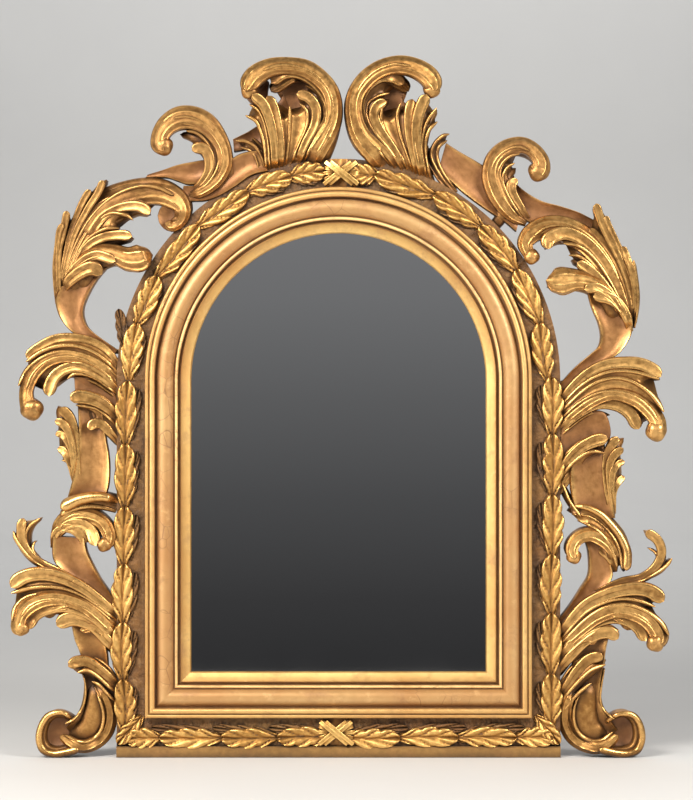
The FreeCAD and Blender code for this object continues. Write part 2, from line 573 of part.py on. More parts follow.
# Garland: a carved ground with leaves, one strip for each length of the frieze
def leaf(root, tip):
    """Leaf between two points of the frieze given as x and z, rising from the ground."""
    length = hypot(tip[0] - root[0], tip[1] - root[1])
    u = ((tip[0] - root[0]) / length, (tip[1] - root[1]) / length)
    half = FRIEZE_WIDTH * LEAF_HALF_BREADTH_SHARE
    middle = 1 / 2
    outline = LEAF_OUTLINE_SHARES + [(1, 0)] + [(a, -b) for a, b in reversed(LEAF_OUTLINE_SHARES)]
    wires = []
    for level, scale in LEAF_LEVEL_SHARES:
        depth = FRIEZE_DEPTH + LEAF_SINK + (LEAF_RISE - LEAF_SINK) * level
        points = []
        for a, b in outline:
            along = length * (middle + (a - middle) * scale)
            aside = half * b * scale
            points.append(V(root[0] + u[0] * along - u[1] * aside, -depth,
                            root[1] + u[1] * along + u[0] * aside))
        curve = Part.BSplineCurve()
        curve.interpolate(points, PeriodicFlag=True)
        wires.append(Part.Wire([curve.toShape()]))
    return Part.makeLoft(wires, True, True)


def leaf_run(places):
    """Leaves with their tips at the places listed, each root under the next tip."""
    leaves = []
    for tip, root in zip(places, places[1:]):
        end = tuple(r + (t - r) * LEAF_OVERLAP_SHARE for r, t in zip(root, tip))
        leaves.append(leaf(end, tip))
    return leaves


frieze_reach = MOULDING_WIDTH - FRIEZE_WIDTH
leaf_reach = frieze_reach + FRIEZE_WIDTH * LEAF_LINE_SHARE
GROUND_ROWS = [
    (frieze_reach, FRIEZE_DEPTH), (frieze_reach, FRIEZE_DEPTH + GROUND_THICKNESS),
    (MOULDING_WIDTH, FRIEZE_DEPTH + GROUND_THICKNESS), (MOULDING_WIDTH, FRIEZE_DEPTH),
]
base_space = box_around(0, 0, FAR, BASE_HEIGHT + GLUE_LINE, 0, BASE_DEPTH + GLUE_LINE)
tie_gap = prism([(-TIE_HALF_WIDTH, -FAR), (TIE_HALF_WIDTH, -FAR), (TIE_HALF_WIDTH, FAR + FAR),
                 (-TIE_HALF_WIDTH, FAR + FAR)], 0, CARVING_DEPTH)
for side, name, side_tips, arch_tips, bottom_tips in (
        (-1, "left", SIDE_TIPS_LEFT, ARCH_TIPS_LEFT, BOTTOM_TIPS_LEFT),
        (1, "right", SIDE_TIPS_RIGHT, ARCH_TIPS_RIGHT, BOTTOM_TIPS_RIGHT)):
    line = SIGHT_HALF_WIDTH + leaf_reach
    run = leaf_run([(side * line, height(py)) for py in side_tips])
    NODES["garland_" + name] = fused([side_length(GROUND_ROWS, side)] + run)
    places = []
    for degrees in arch_tips:
        p = on_arch(side * degrees, line, 0)
        places.append((p.x, p.z))
    ground = arch_length(GROUND_ROWS, *sorted((0, side * 90))).cut(tie_gap)
    NODES["garland_arch_" + name] = fused([ground] + [s.cut(tie_gap) for s in leaf_run(places)])
    run = leaf_run([(across(px), SIGHT_BOTTOM - leaf_reach) for px in bottom_tips])
    half = box_around(side * HALF_WIDTH / 2, SIGHT_BOTTOM - frieze_reach, HALF_WIDTH / 2,
                      MOULDING_WIDTH, 0, CARVING_DEPTH)
    ground = bottom_length(GROUND_ROWS).common(half).cut(tie_gap)
    run = [s.cut(tie_gap).cut(base_space) for s in run]
    NODES["garland_bottom_" + name] = fused([ground] + run)


def ribbon_tie(z):
    """Crossed ribbons over the meeting leaves, on a block that fills the gap of the frieze."""
    inside = TIE_HALF_WIDTH - GLUE_LINE
    top = FRIEZE_DEPTH + TIE_RISE
    half = FRIEZE_WIDTH / 2 - GLUE_LINE
    pieces = [box_around(0, z, inside, half - LEAF_SINK, FRIEZE_DEPTH, top)]
    near = FRIEZE_DEPTH + LEAF_RISE + RIBBON_GAP
    for angle in (-RIBBON_ANGLE, RIBBON_ANGLE):
        bar = box_around(0, z, RIBBON_LENGTH / 2, RIBBON_WIDTH / 2, near, near + RIBBON_THICKNESS)
        bar.rotate(V(0, 0, z), V(0, 1, 0), angle)
        pieces.append(bar)
    return fused(pieces)


tie_reach = frieze_reach + FRIEZE_WIDTH / 2
NODES["ribbon_tie_top"] = ribbon_tie(SPRING_HEIGHT + SIGHT_HALF_WIDTH + tie_reach)
NODES["ribbon_tie_bottom"] = ribbon_tie(SIGHT_BOTTOM - tie_reach)


# Carving: strands of half-round wood, fused and cut flat at the back
def eased(points, steps=2):
    """Points of a smooth line through the rows of a strand."""
    out = []
    last = len(points) - 1
    for i in range(last):
        a, b, c, d = (points[max(i - 1, 0)], points[i], points[i + 1], points[min(i + 2, last)])
        for k in range(steps):
            t = k / steps
            out.append(tuple(
                (2 * q + (r - p) * t + (2 * p - 5 * q + 4 * r - s) * t ** 2
                 + (3 * q - p - 3 * r + s) * t ** 3) / 2
                for p, q, r, s in zip(a, b, c, d)))
    out.append(tuple(points[last]))
    return out


def strand(root_share, tip_share, rows):
    """Tapering strand with an elliptical section, its front at the depths asked for."""
    rows = eased(rows)
    last = len(rows) - 1
    places = [(across(px), height(py), breadth * PIXEL / 2) for px, py, breadth in rows]
    wires = []
    for i, (x, z, half) in enumerate(places):
        before = places[max(i - 1, 0)]
        after = places[min(i + 1, last)]
        run = hypot(after[0] - before[0], after[1] - before[1])
        aside = V((before[1] - after[1]) / run, 0, (after[0] - before[0]) / run)
        front = CARVING_DEPTH * (root_share + (tip_share - root_share) * i / last)
        thick = min(front - CARVING_BACK + CARVING_SINK, half * ROUNDNESS_SHARE)
        centre = V(x, thick - front, z)
        ring = []
        for k in range(12):
            a = 2 * pi * k / 12
            ring.append(centre + aside * (half * cos(a)) + V(0, -thick * sin(a), 0))
        curve = Part.BSplineCurve()
        curve.interpolate(ring, PeriodicFlag=True)
        wires.append(Part.Wire([curve.toShape()]))
    return Part.makeLoft(wires, True, False)


def joint_block(line, way, sign):
    """Block on one side of a joint line between two carvings."""
    reach = hypot(*way)
    unit = (way[0] / reach * sign, way[1] / reach * sign)
    shift = CARVING_JOINT / PIXEL / 2
    near = [(px - unit[0] * shift, py - unit[1] * shift) for px, py in line]
    away = [(px + unit[0] * reach, py + unit[1] * reach) for px, py in line]
    outline = [(across(px), height(py)) for px, py in near + away[::-1]]
    return prism(outline, 0, CARVING_DEPTH + CARVING_DEPTH)


# Dowels between the carvings and the frame, as middles on its outer edge with their ways
dowel_depth = FRIEZE_DEPTH / 2
dowel_places = {}
for name, heights in SIDE_DOWELS.items():
    side = -1 if name.endswith("left") else 1
    dowel_places[name] = [(V(side * HALF_WIDTH, -dowel_depth, height(py)), V(1, 0, 0))
                          for py in heights]
for name, angles in ARCH_DOWELS.items():
    dowel_places[name] = [(on_arch(a, HALF_WIDTH, dowel_depth), V(sin(radians(a)), 0, cos(radians(a))))
                          for a in angles]
BACK_NODES = [n for n in NODES if n.startswith("back_frame")]
carving_dowels = []
dowel_bores = []
for places in dowel_places.values():
    for point, way in places:
        carving_dowels.append(peg(CARVING_DOWEL_RADIUS, point, way, CARVING_DOWEL_LENGTH))
        dowel_bores.append(peg(CARVING_DOWEL_RADIUS + CARVING_DOWEL_CLEARANCE, point, way,
                               CARVING_DOWEL_LENGTH + CARVING_DOWEL_CLEARANCE))
        bore = peg(CARVING_DOWEL_RADIUS + DOWEL_CLEARANCE, point, way, CARVING_DOWEL_LENGTH)
        for owner in BACK_NODES:
            NODES[owner] = NODES[owner].cut(bore)
NODES["carving_dowels"] = grouped(carving_dowels)

back_block = box_around(0, SPRING_HEIGHT, FAR, FAR, -CARVING_DEPTH, CARVING_BACK)
frame_block = arched_plate(MOULDING_WIDTH + CARVING_CLEARANCE, 0, FRIEZE_DEPTH)
frieze_block = arched_plate(MOULDING_WIDTH + LEAF_CLEARANCE, FRIEZE_DEPTH,
                            CARVING_DEPTH + CARVING_DEPTH)
base_block = box_around(0, 0, HALF_WIDTH + CARVING_CLEARANCE, BASE_HEIGHT + CARVING_CLEARANCE,
                        0, BASE_DEPTH + CARVING_CLEARANCE)
floor_block = box_around(0, -FAR, FAR, FAR, -CARVING_DEPTH, CARVING_DEPTH + CARVING_DEPTH)
for name, strands in CARVINGS.items():
    lofts = [strand(*s) for s in strands]
    if name in PANELS:
        outline = [(across(px), height(py)) for px, py in PANELS[name]]
        lofts.append(prism(outline, CARVING_BACK - CARVING_SINK, CARVING_DEPTH * PANEL_SHARE))
    shape = lofts[0].multiFuse(lofts[1:])
    blocks = dowel_bores + [back_block, frame_block, frieze_block, base_block, floor_block]
    for first, second, line, way in CARVING_JOINTS:
        if name == first:
            blocks.append(joint_block(line, way, 1))
        if name == second:
            blocks.append(joint_block(line, way, -1))
    for block in blocks:
        shape = shape.cut(block)
    NODES[name] = grouped([shape])
    print(name, len(shape.Solids), "solid", "sound" if shape.isValid() else "faulty")

# Dowels in the joints of the back frame
joint_dowels = []
dowel_reaches = [RECESS_REACH + (MOULDING_WIDTH - RECESS_REACH) * share for share in FRAME_DOWEL_SHARES]
for reach in dowel_reaches:
    radius = SIGHT_HALF_WIDTH + reach
    for angle in SPRING_JOINT_ANGLES:
        a = radians(angle)
        joint_dowels.append((on_arch(angle, radius, dowel_depth), V(cos(a), 0, -sin(a))))
    for side in (-1, 1):
        joint_dowels.append((V(side * radius, -dowel_depth, SIGHT_BOTTOM - reach), V(side, 0, 1)))
frame_dowels = []
for point, way in joint_dowels:
    frame_dowels.append(peg(FRAME_DOWEL_RADIUS, point, way, FRAME_DOWEL_LENGTH))
    bore = peg(FRAME_DOWEL_RADIUS + DOWEL_CLEARANCE, point, way, FRAME_DOWEL_LENGTH)
    for owner in BACK_NODES:
        NODES[owner] = NODES[owner].cut(bore)
NODES["frame_dowels"] = grouped(frame_dowels)

# Turn buttons, each with its long side across the edge of the backboard
radius = SIGHT_HALF_WIDTH + BUTTON_REACH
button_places = []
for angle in ARCH_BUTTONS:
    button_places.append((on_arch(angle, radius, 0), angle - 90))
for side in (-1, 1):
    button_places.append((V(side * radius, 0, height(SIDE_BUTTON_PX)), 0))
for px in BOTTOM_BUTTONS_PX:
    button_places.append((V(across(px), 0, SIGHT_BOTTOM - BUTTON_REACH), 90))
button_front = RECESS_DEPTH - BUTTON_GAP
button_back = button_front - BUTTON_THICKNESS
head_front = button_back - BUTTON_HEAD_GAP
screws = []
for number, (point, turn) in enumerate(button_places, 1):
    round_half = BUTTON_WIDTH / 2
    straight = BUTTON_LENGTH / 2 - round_half
    body = [box_around(0, 0, straight, round_half, button_back, button_front)]
    for end in (-straight, straight):
        body.append(rod(round_half, V(end, -button_back, 0), V(end, -button_front, 0)))
    button = fused(body).cut(rod(BUTTON_BORE_RADIUS, V(0, 0, 0), V(0, -button_front, 0)))
    button.rotate(V(0, 0, 0), V(0, 1, 0), turn)
    button.translate(point)
    NODES["turn_button_%d" % number] = button
    shank_end = RECESS_DEPTH + BUTTON_SCREW_DEPTH
    head = rod(BUTTON_HEAD_RADIUS, point + V(0, -(head_front - BUTTON_HEAD_HEIGHT), 0),
               point + V(0, -head_front, 0))
    shank = rod(BUTTON_SCREW_RADIUS, point + V(0, -(head_front - BUTTON_HEAD_HEIGHT / 2), 0),
                point + V(0, -shank_end, 0))
    slot = box_around(point.x, point.z, BUTTON_HEAD_RADIUS, BUTTON_SLOT_HALF_WIDTH,
                      head_front - BUTTON_HEAD_HEIGHT,
                      head_front - BUTTON_HEAD_HEIGHT + BUTTON_SLOT_DEPTH)
    screws.append(fused([head, shank]).cut(slot))
    bore = rod(BUTTON_SCREW_RADIUS + DOWEL_CLEARANCE / 2, point, point + V(0, -shank_end, 0))
    for owner in BACK_NODES:
        NODES[owner] = NODES[owner].cut(bore)
NODES["turn_button_screws"] = grouped(screws)

# Hanging plates: pocket, strap with a rolled barrel, and a ring that swings in the barrel
barrel_depth = POCKET_DEPTH - BARREL_RADIUS
strap_back = POCKET_DEPTH - STRAP_THICKNESS
hanger_screws = []
for side, name in ((-1, "left"), (1, "right")):
    x = side * (SIGHT_HALF_WIDTH + HANGER_REACH)
    z = HANGER_HEIGHT
    pocket_middle = z + (POCKET_ABOVE - POCKET_BELOW) / 2
    pocket = box_around(x, pocket_middle, POCKET_WIDTH / 2, (POCKET_ABOVE + POCKET_BELOW) / 2,
                        -GLUE_LINE, POCKET_DEPTH)
    stile = "back_frame_%s_stile" % name
    NODES[stile] = NODES[stile].cut(pocket)
    half = STRAP_WIDTH / 2
    axis = V(x, -barrel_depth, z)
    plate = box_around(x, z - STRAP_LENGTH / 2, half, STRAP_LENGTH / 2, strap_back, POCKET_DEPTH)
    roll = rod(BARREL_RADIUS, axis - V(half, 0, 0), axis + V(half, 0, 0))
    strap = fused([plate, roll])
    strap = strap.cut(rod(BARREL_BORE_RADIUS, axis - V(STRAP_WIDTH, 0, 0), axis + V(STRAP_WIDTH, 0, 0)))
    for share in HANGER_SCREW_SHARES:
        at = V(x, 0, z - STRAP_LENGTH * share)
        tip = POCKET_DEPTH + HANGER_SCREW_LENGTH
        head = Part.makeCone(HANGER_SCREW_HEAD_RADIUS, HANGER_SCREW_RADIUS, STRAP_THICKNESS,
                             at - V(0, strap_back + HANGER_SCREW_RISE, 0), V(0, -1, 0))
        shank = rod(HANGER_SCREW_RADIUS, at - V(0, strap_back + STRAP_THICKNESS / 2, 0),
                    at - V(0, tip, 0))
        hanger_screws.append(fused([head, shank]))
        seat = Part.makeCone(HANGER_SCREW_HEAD_RADIUS + DOWEL_CLEARANCE,
                             HANGER_SCREW_RADIUS + DOWEL_CLEARANCE, STRAP_THICKNESS,
                             at - V(0, strap_back + HANGER_SCREW_RISE, 0), V(0, -1, 0))
        bore = rod(HANGER_SCREW_RADIUS + DOWEL_CLEARANCE, at, at - V(0, tip, 0))
        mouth = rod(HANGER_SCREW_HEAD_RADIUS + DOWEL_CLEARANCE, at,
                    at - V(0, strap_back + HANGER_SCREW_RISE, 0))
        strap = strap.cut(seat).cut(bore).cut(mouth)
        NODES[stile] = NODES[stile].cut(bore).cut(seat)
    NODES["hanger_strap_" + name] = strap
    left = axis - V(RING_HALF_WIDTH, 0, 0)
    right = axis + V(RING_HALF_WIDTH, 0, 0)
    drop = V(0, 0, -RING_SIDE)
    ring = [rod(RING_WIRE_RADIUS, left, right)]
    for corner in (left, right):
        ring.append(Part.makeSphere(RING_WIRE_RADIUS, corner))
        ring.append(rod(RING_WIRE_RADIUS, corner, corner + drop))
    wire = Part.Wire(Part.makeCircle(RING_WIRE_RADIUS, right + drop, V(0, 0, 1)))
    ring.append(Part.Face(wire).revolve(axis + drop, V(0, 1, 0), 180))
    NODES["hanger_ring_" + name] = fused(ring)
NODES["hanger_screws"] = grouped(hanger_screws)

os.makedirs("parts", exist_ok=True)
for node, shape in NODES.items():
    shape.exportStep("parts/%s.step" % node)
print(len(NODES), "nodes")
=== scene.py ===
from math import cos, pi, radians, sin

import bpy
import bmesh
import numpy as np
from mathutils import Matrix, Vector


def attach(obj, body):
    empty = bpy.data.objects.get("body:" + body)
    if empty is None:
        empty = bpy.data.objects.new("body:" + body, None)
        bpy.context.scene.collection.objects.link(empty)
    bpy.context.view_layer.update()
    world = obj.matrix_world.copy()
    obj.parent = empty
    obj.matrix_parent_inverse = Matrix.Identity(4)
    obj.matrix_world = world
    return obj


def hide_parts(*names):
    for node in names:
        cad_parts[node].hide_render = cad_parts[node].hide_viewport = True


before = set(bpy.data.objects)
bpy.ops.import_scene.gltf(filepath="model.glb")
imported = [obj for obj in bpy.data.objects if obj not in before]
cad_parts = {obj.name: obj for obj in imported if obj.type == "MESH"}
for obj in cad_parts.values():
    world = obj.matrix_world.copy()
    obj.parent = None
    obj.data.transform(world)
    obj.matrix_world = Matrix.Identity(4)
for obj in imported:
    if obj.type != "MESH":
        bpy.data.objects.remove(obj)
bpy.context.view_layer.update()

# Lengths are in metres, except in the tables, which hold places in pixels of the photograph.
# Places in the photograph: middle of the frame, floor line, spring line of the arch
CENTRE_PX = 338.5
BASE_PX = 756.5
SPRING_PX = 380.5
HALF_WIDTH_PX = 221.5
# Frame and garland
HALF_WIDTH = 0.310
PIXEL = HALF_WIDTH / HALF_WIDTH_PX
SPRING_HEIGHT = 0.526
SIGHT_HALF_WIDTH = 0.206
SIGHT_BOTTOM = 0.119
LEAF_RADIUS = SIGHT_HALF_WIDTH + 0.092
FRIEZE_MIDDLE = SIGHT_HALF_WIDTH + 0.084
GROUND_DEPTH = 0.036
# Carvings: depth that a share of 1 in the tables stands for, and clearance behind the wood
CARVING_DEPTH = 0.072
CARVING_BACK = 0.0045
# Mass of a carving: least front depth, roundness of its strands, softness of their joins
MASS_FLOOR = 0.018
MASS_ROUND = 0.42
BLEND = 0.002
BLEND_DROP = 0.3
# How far the plain core lies under that front, and its breadth
CORE_SINK = 0.006
CORE_END_SINK = 0.014
CORE_END_RUN = 0.022
CORE_BREADTH = 0.84
# Low wear and sheen: the cores are painted in shade where they show between the ribs
CORE_WEAR_AND_SHEEN = 0.1
# Ribs and the flutes between them
RIB_LIFT = 0.0019
STRAP_LIFT = 0.0018
TIP_LIFT = 0.003
TIP_LIFT_START = 0.55
TIP_LIFT_RUN = 0.45
RIDGE_SHARE = 0.66
RIDGE_TAPER = 3.4
RIDGE_TIP = 0.12
LOBE_TAPER = 1.3
WEB_REACH_PX = 19
WEB_WIDEST = 1.9
WEB_LIFT = 0.0016
WEB_RINGS = 72
WEB_STATIONS = 9
WEB_END = 0.965
WEB_BODY = 0.014
# Notch between two tips: share of their gap, least and most of the length
WEB_NOTCH = 0.45
WEB_NOTCH_LIMITS = (0.02, 0.22)
# Hollow of a flute: share of its gap, greatest depth; its fall where the tips begin
WEB_HOLLOW = 0.20
WEB_HOLLOW_MOST = 0.0030
WEB_TIP_START = 0.9
WEB_TIP_RUN = 0.1
WEB_TIP_DROP = 0.006
# Roots of the ribs on the frame: run and depth at which they set out, share of the rise they
# start with, how far inside the frame's edge they begin to rise and over what run
ROOT_RUN = 0.015
ROOT_DEPTH = 0.034
ROOT_START = 0.12
ROOT_INSET = 0.003
ROOT_RISE_RUN = 0.014
# Lines: steps of a curve between two rows, spacing of rings in pixels
SPLINE_STEPS = 16
RING_STEP_PX = 1.6
WEB_STEP_PX = 0.5
ROUND_LEAST = 0.004
# Bodies behind the fronts of ribs and straps: shares of the half breadth, least depths
RIB_BODY = (2.4, 0.010)
STRAP_BODY = (2.0, 0.014)
STRAP_TALLEST = 0.013

# Core strands of each carving: depth shares of its front at the root and the tip, then its
# line with its breadth
CORES = {
    "upper_leaf_left": [
        (0.66, 0.66, [(84, 296, 30), (70, 268, 30), (80, 232, 34), (102, 204, 32), (132, 189, 24),
            (160, 185, 17), (180, 195, 15), (187, 208, 14), (180, 221, 12), (168, 223, 10)]),
        (0.58, 0.78, [(62, 300, 14), (59, 265, 14), (62, 236, 12), (68, 215, 7)]),
        (0.62, 0.80, [(70, 270, 14), (84, 220, 16), (98, 192, 10), (107, 180, 5)]),
        (0.64, 0.74, [(80, 285, 28), (92, 248, 24), (112, 222, 20), (135, 211, 14),
            (150, 214, 8)]),
        (0.62, 0.70, [(84, 268, 20), (100, 246, 18), (118, 240, 14), (133, 238, 9)]),
        (0.68, 0.82, [(74, 292, 30), (92, 266, 28), (112, 256, 26), (130, 258, 24),
            (146, 257, 12)]),
    ],
    "mid_leaf_left": [
        (0.56, 0.70, [(122, 372, 18), (104, 358, 16), (88, 349, 17), (70, 345, 17), (52, 348, 17),
            (36, 357, 13), (28, 364, 6)]),
        (0.54, 0.72, [(122, 388, 16), (106, 373, 15), (88, 363, 14), (66, 359, 13), (46, 364, 13),
            (32, 376, 13), (25, 392, 13), (30, 407, 17), (37, 413, 12)]),
        (0.52, 0.62, [(122, 396, 14), (104, 380, 13), (86, 371, 13), (68, 372, 13), (54, 380, 13),
            (49, 394, 9)]),
    ],
    "mid_band_left": [
        (0.56, 0.72, [(123, 424, 18), (108, 408, 17), (94, 400, 16), (80, 399, 13), (73, 401, 6)]),
        (0.52, 0.64, [(122, 446, 12), (109, 432, 12), (98, 425, 11), (92, 431, 7)]),
        (0.52, 0.68, [(80, 478, 14), (74, 455, 18), (70, 432, 18), (62, 416, 14), (58, 406, 7)]),
        (0.68, 0.66, [(62, 505, 9), (78, 499, 12), (92, 496.5, 13), (106, 496.5, 12),
            (122, 501, 12)]),
    ],
    "lower_leaf_left": [
        (0.60, 0.66, [(54, 532, 10), (62, 518, 12), (76, 511, 12), (92, 512, 12), (104, 519, 12),
            (112, 532, 12), (110, 548, 12)]),
        (0.58, 0.66, [(56, 536, 12), (66, 526, 14), (80, 527, 16), (92, 536, 14), (98, 546, 10)]),
        (0.48, 0.56, [(84, 586, 10), (66, 576, 11), (48, 568, 11), (34, 560, 11), (24, 549, 11),
            (19, 537, 9), (22, 522, 6)]),
        (0.46, 0.58, [(40, 564, 9), (30, 551, 8), (28, 537, 7), (32, 526, 6), (41, 518, 4)]),
        (0.58, 0.74, [(122, 622, 20), (102, 603, 20), (84, 589, 20), (64, 581, 20), (44, 579, 20),
            (28, 581, 17), (15, 588, 9)]),
        (0.56, 0.76, [(123, 640, 18), (102, 619, 18), (84, 606, 17), (62, 600, 16), (42, 601, 16),
            (26, 609, 15), (20, 620, 15), (23, 631, 13)]),
        (0.54, 0.62, [(123, 658, 18), (106, 638, 18), (92, 625, 16), (76, 620, 15), (60, 624, 9)]),
    ],
    "foot_scroll_left": [
        (0.58, 0.72, [(123, 702, 18), (108, 684, 20), (94, 671, 18), (80, 667, 16), (71, 666, 8)]),
        (0.62, 0.56, [(93, 680, 20), (95, 698, 24), (95, 714, 30), (90, 727, 30), (78, 734, 24),
            (66, 734, 18)]),
        (0.60, 0.62, [(76, 722, 8), (64, 715, 9), (54, 715, 10), (46, 723, 10), (43, 736, 10),
            (47, 747, 10), (58, 750, 9), (72, 746, 9), (86, 741, 9)]),
        (0.36, 0.36, [(52, 720, 18), (53, 734, 22), (56, 747, 12)]),
    ],
    "shoulder_scroll_left": [
        (0.60, 0.72, [(228, 186, 24), (226, 160, 17), (220, 140, 19), (208, 125, 22),
            (192, 118, 24), (174, 122, 22), (161, 134, 18), (158, 146, 15), (167, 150, 12)]),
        (0.58, 0.66, [(212, 200, 16), (214, 168, 13), (206, 147, 14), (193, 137, 12),
            (180, 134, 6)]),
        (0.60, 0.66, [(198, 200, 14), (209, 176, 13), (209, 160, 12), (202, 150, 11),
            (194, 150, 8)]),
        (0.50, 0.60, [(265, 180, 10), (262, 158, 10), (254, 147, 10), (240, 142, 8)]),
    ],
    "crest_scroll_left": [
        (0.66, 0.92, [(312, 170, 28), (326, 142, 25), (334, 118, 19), (332, 98, 18),
            (322, 82, 18), (306, 71, 18), (288, 67, 18), (270, 70, 19), (256, 77, 18),
            (247, 88, 14), (249, 95, 9)]),
        (0.64, 0.78, [(298, 170, 22), (308, 142, 19), (314, 120, 16), (309, 104, 13),
            (298, 98, 8)]),
        (0.60, 0.70, [(290, 174, 12), (290, 145, 10), (290, 125, 9), (290, 108, 6)]),
        (0.64, 0.86, [(276, 178, 18), (277, 148, 18), (272, 124, 17), (264, 106, 13),
            (257, 97, 7)]),
        (0.58, 0.76, [(268, 182, 14), (267, 146, 14), (262, 124, 13), (250, 112, 8)]),
    ],
    "crest_scroll_right": [
        (0.66, 0.92, [(402, 180, 28), (378, 158, 24), (360, 140, 22), (352, 118, 18.5),
            (353, 98, 18), (364, 82, 18), (380, 71, 18), (398, 67, 18), (414, 69, 18),
            (428, 77, 17), (435, 88, 12)]),
        (0.64, 0.78, [(406, 184, 22), (388, 150, 19), (376, 125, 16), (379, 108, 13),
            (389, 100, 8)]),
        (0.60, 0.70, [(413, 184, 12), (404, 152, 11), (399, 132, 10), (400, 106, 6)]),
        (0.64, 0.86, [(423, 190, 18), (415, 154, 18), (414, 132, 17), (418, 112, 14),
            (425, 97, 7)]),
        (0.58, 0.76, [(434, 194, 14), (423, 158, 12), (424, 138, 12), (430, 121, 10),
            (437, 110, 5)]),
    ],
    "shoulder_scroll_right": [
        (0.60, 0.72, [(490, 229, 14), (500, 219, 15), (502, 206, 19), (493, 188, 21),
            (492, 172, 22), (500, 157, 20), (514, 149, 17), (529, 152, 16), (539, 161, 16),
            (539, 172, 17)]),
        (0.58, 0.66, [(526, 222, 7), (516, 208, 13), (508, 191, 14), (508, 176, 12),
            (516, 168, 8)]),
        (0.50, 0.60, [(454, 192, 12), (439, 170, 11), (433, 154, 11), (440, 139, 8),
            (447, 136, 5)]),
    ],
    "upper_leaf_right": [
        (0.58, 0.80, [(632, 318, 12), (630, 290, 16), (621, 262, 17), (609, 236, 16),
            (600, 218, 12), (595, 205, 6)]),
        (0.56, 0.74, [(632, 328, 12), (635, 300, 10), (632, 276, 8), (629, 261, 4)]),
        (0.66, 0.66, [(622, 320, 30), (614, 282, 28), (598, 252, 26), (578, 233, 24),
            (556, 226, 20), (537, 232, 17), (527, 244, 14), (531, 256, 12)]),
        (0.64, 0.74, [(616, 304, 26), (604, 270, 22), (586, 248, 20), (566, 238, 15),
            (550, 241, 15), (546, 249, 8)]),
        (0.62, 0.70, [(624, 318, 24), (610, 286, 20), (594, 268, 16), (572, 260, 10)]),
        (0.68, 0.82, [(622, 322, 28), (606, 296, 26), (590, 284, 26), (572, 280, 26),
            (556, 283, 18), (548, 287, 10)]),
    ],
    "mid_leaf_right": [
        (0.56, 0.70, [(555, 412, 18), (572, 392, 18), (590, 377, 18), (610, 369, 18),
            (630, 367, 18), (646, 372, 14), (660, 380, 6)]),
        (0.54, 0.70, [(555, 420, 14), (578, 396, 13), (598, 384, 13), (620, 381, 13),
            (640, 388, 12), (654, 399, 11), (662, 411, 7)]),
        (0.54, 0.72, [(555, 426, 16), (575, 404, 14), (597, 393, 13), (618, 391, 13),
            (638, 397, 13), (652, 408, 13), (659, 421, 13), (655, 432, 17)]),
        (0.52, 0.62, [(555, 436, 16), (576, 413, 15), (598, 401, 14), (618, 402, 14),
            (634, 411, 13), (643, 424, 10)]),
    ],
    "mid_band_right": [
        (0.56, 0.72, [(554, 482, 18), (568, 463, 18), (580, 451, 17), (594, 444, 15),
            (607, 440, 8)]),
        (0.52, 0.68, [(608, 506, 14), (611, 480, 14), (612, 460, 14), (617, 446, 12),
            (624, 438, 5)]),
        (0.52, 0.56, [(554, 474, 12), (564, 490, 10), (572, 504, 10), (584, 518, 10)]),
    ],
    "lower_leaf_right": [
        (0.60, 0.64, [(568, 511, 9), (584, 509, 11), (600, 514, 12), (612, 524, 12),
            (622, 538, 12), (626, 554, 10), (624, 572, 7)]),
        (0.62, 0.70, [(618, 566, 12), (612, 546, 14), (600, 536, 16), (586, 532, 14),
            (574, 538, 12), (569, 548, 12), (573, 557, 11)]),
        (0.48, 0.56, [(600, 592, 9), (622, 583, 10), (643, 579, 10), (657, 569, 10),
            (663, 556, 9), (658, 541, 8), (645, 531, 5)]),
        (0.46, 0.56, [(640, 580, 7), (652, 576, 7), (663, 569, 7), (671, 559, 4)]),
        (0.58, 0.74, [(553, 646, 20), (572, 618, 19), (590, 603, 19), (612, 594, 19),
            (634, 592, 19), (650, 596, 13), (662, 602, 6)]),
        (0.56, 0.76, [(553, 656, 18), (574, 629, 16), (596, 612, 15), (620, 606, 15),
            (642, 612, 14), (657, 623, 14), (663, 637, 14), (656, 647, 16)]),
        (0.54, 0.66, [(553, 664, 14), (576, 637, 14), (596, 620, 13), (616, 614, 13),
            (634, 620, 13), (645, 631, 10), (645, 641, 6)]),
        (0.54, 0.62, [(553, 678, 16), (572, 652, 16), (586, 638, 15), (602, 631, 14),
            (616, 636, 8)]),
    ],
    "foot_scroll_right": [
        (0.58, 0.72, [(553, 714, 18), (570, 691, 20), (584, 674, 18), (597, 665, 14),
            (606, 660, 6)]),
        (0.62, 0.56, [(588, 678, 24), (585, 698, 30), (583, 714, 36), (588, 728, 34),
            (600, 736, 26), (612, 737, 18)]),
        (0.60, 0.62, [(602, 726, 8), (614, 716, 9), (625, 714, 9), (634, 721, 10), (637, 734, 10),
            (633, 746, 10), (621, 750, 9), (607, 748, 9), (594, 746, 9)]),
        (0.36, 0.36, [(627, 720, 16), (627, 734, 22), (624, 747, 12)]),
    ],
}

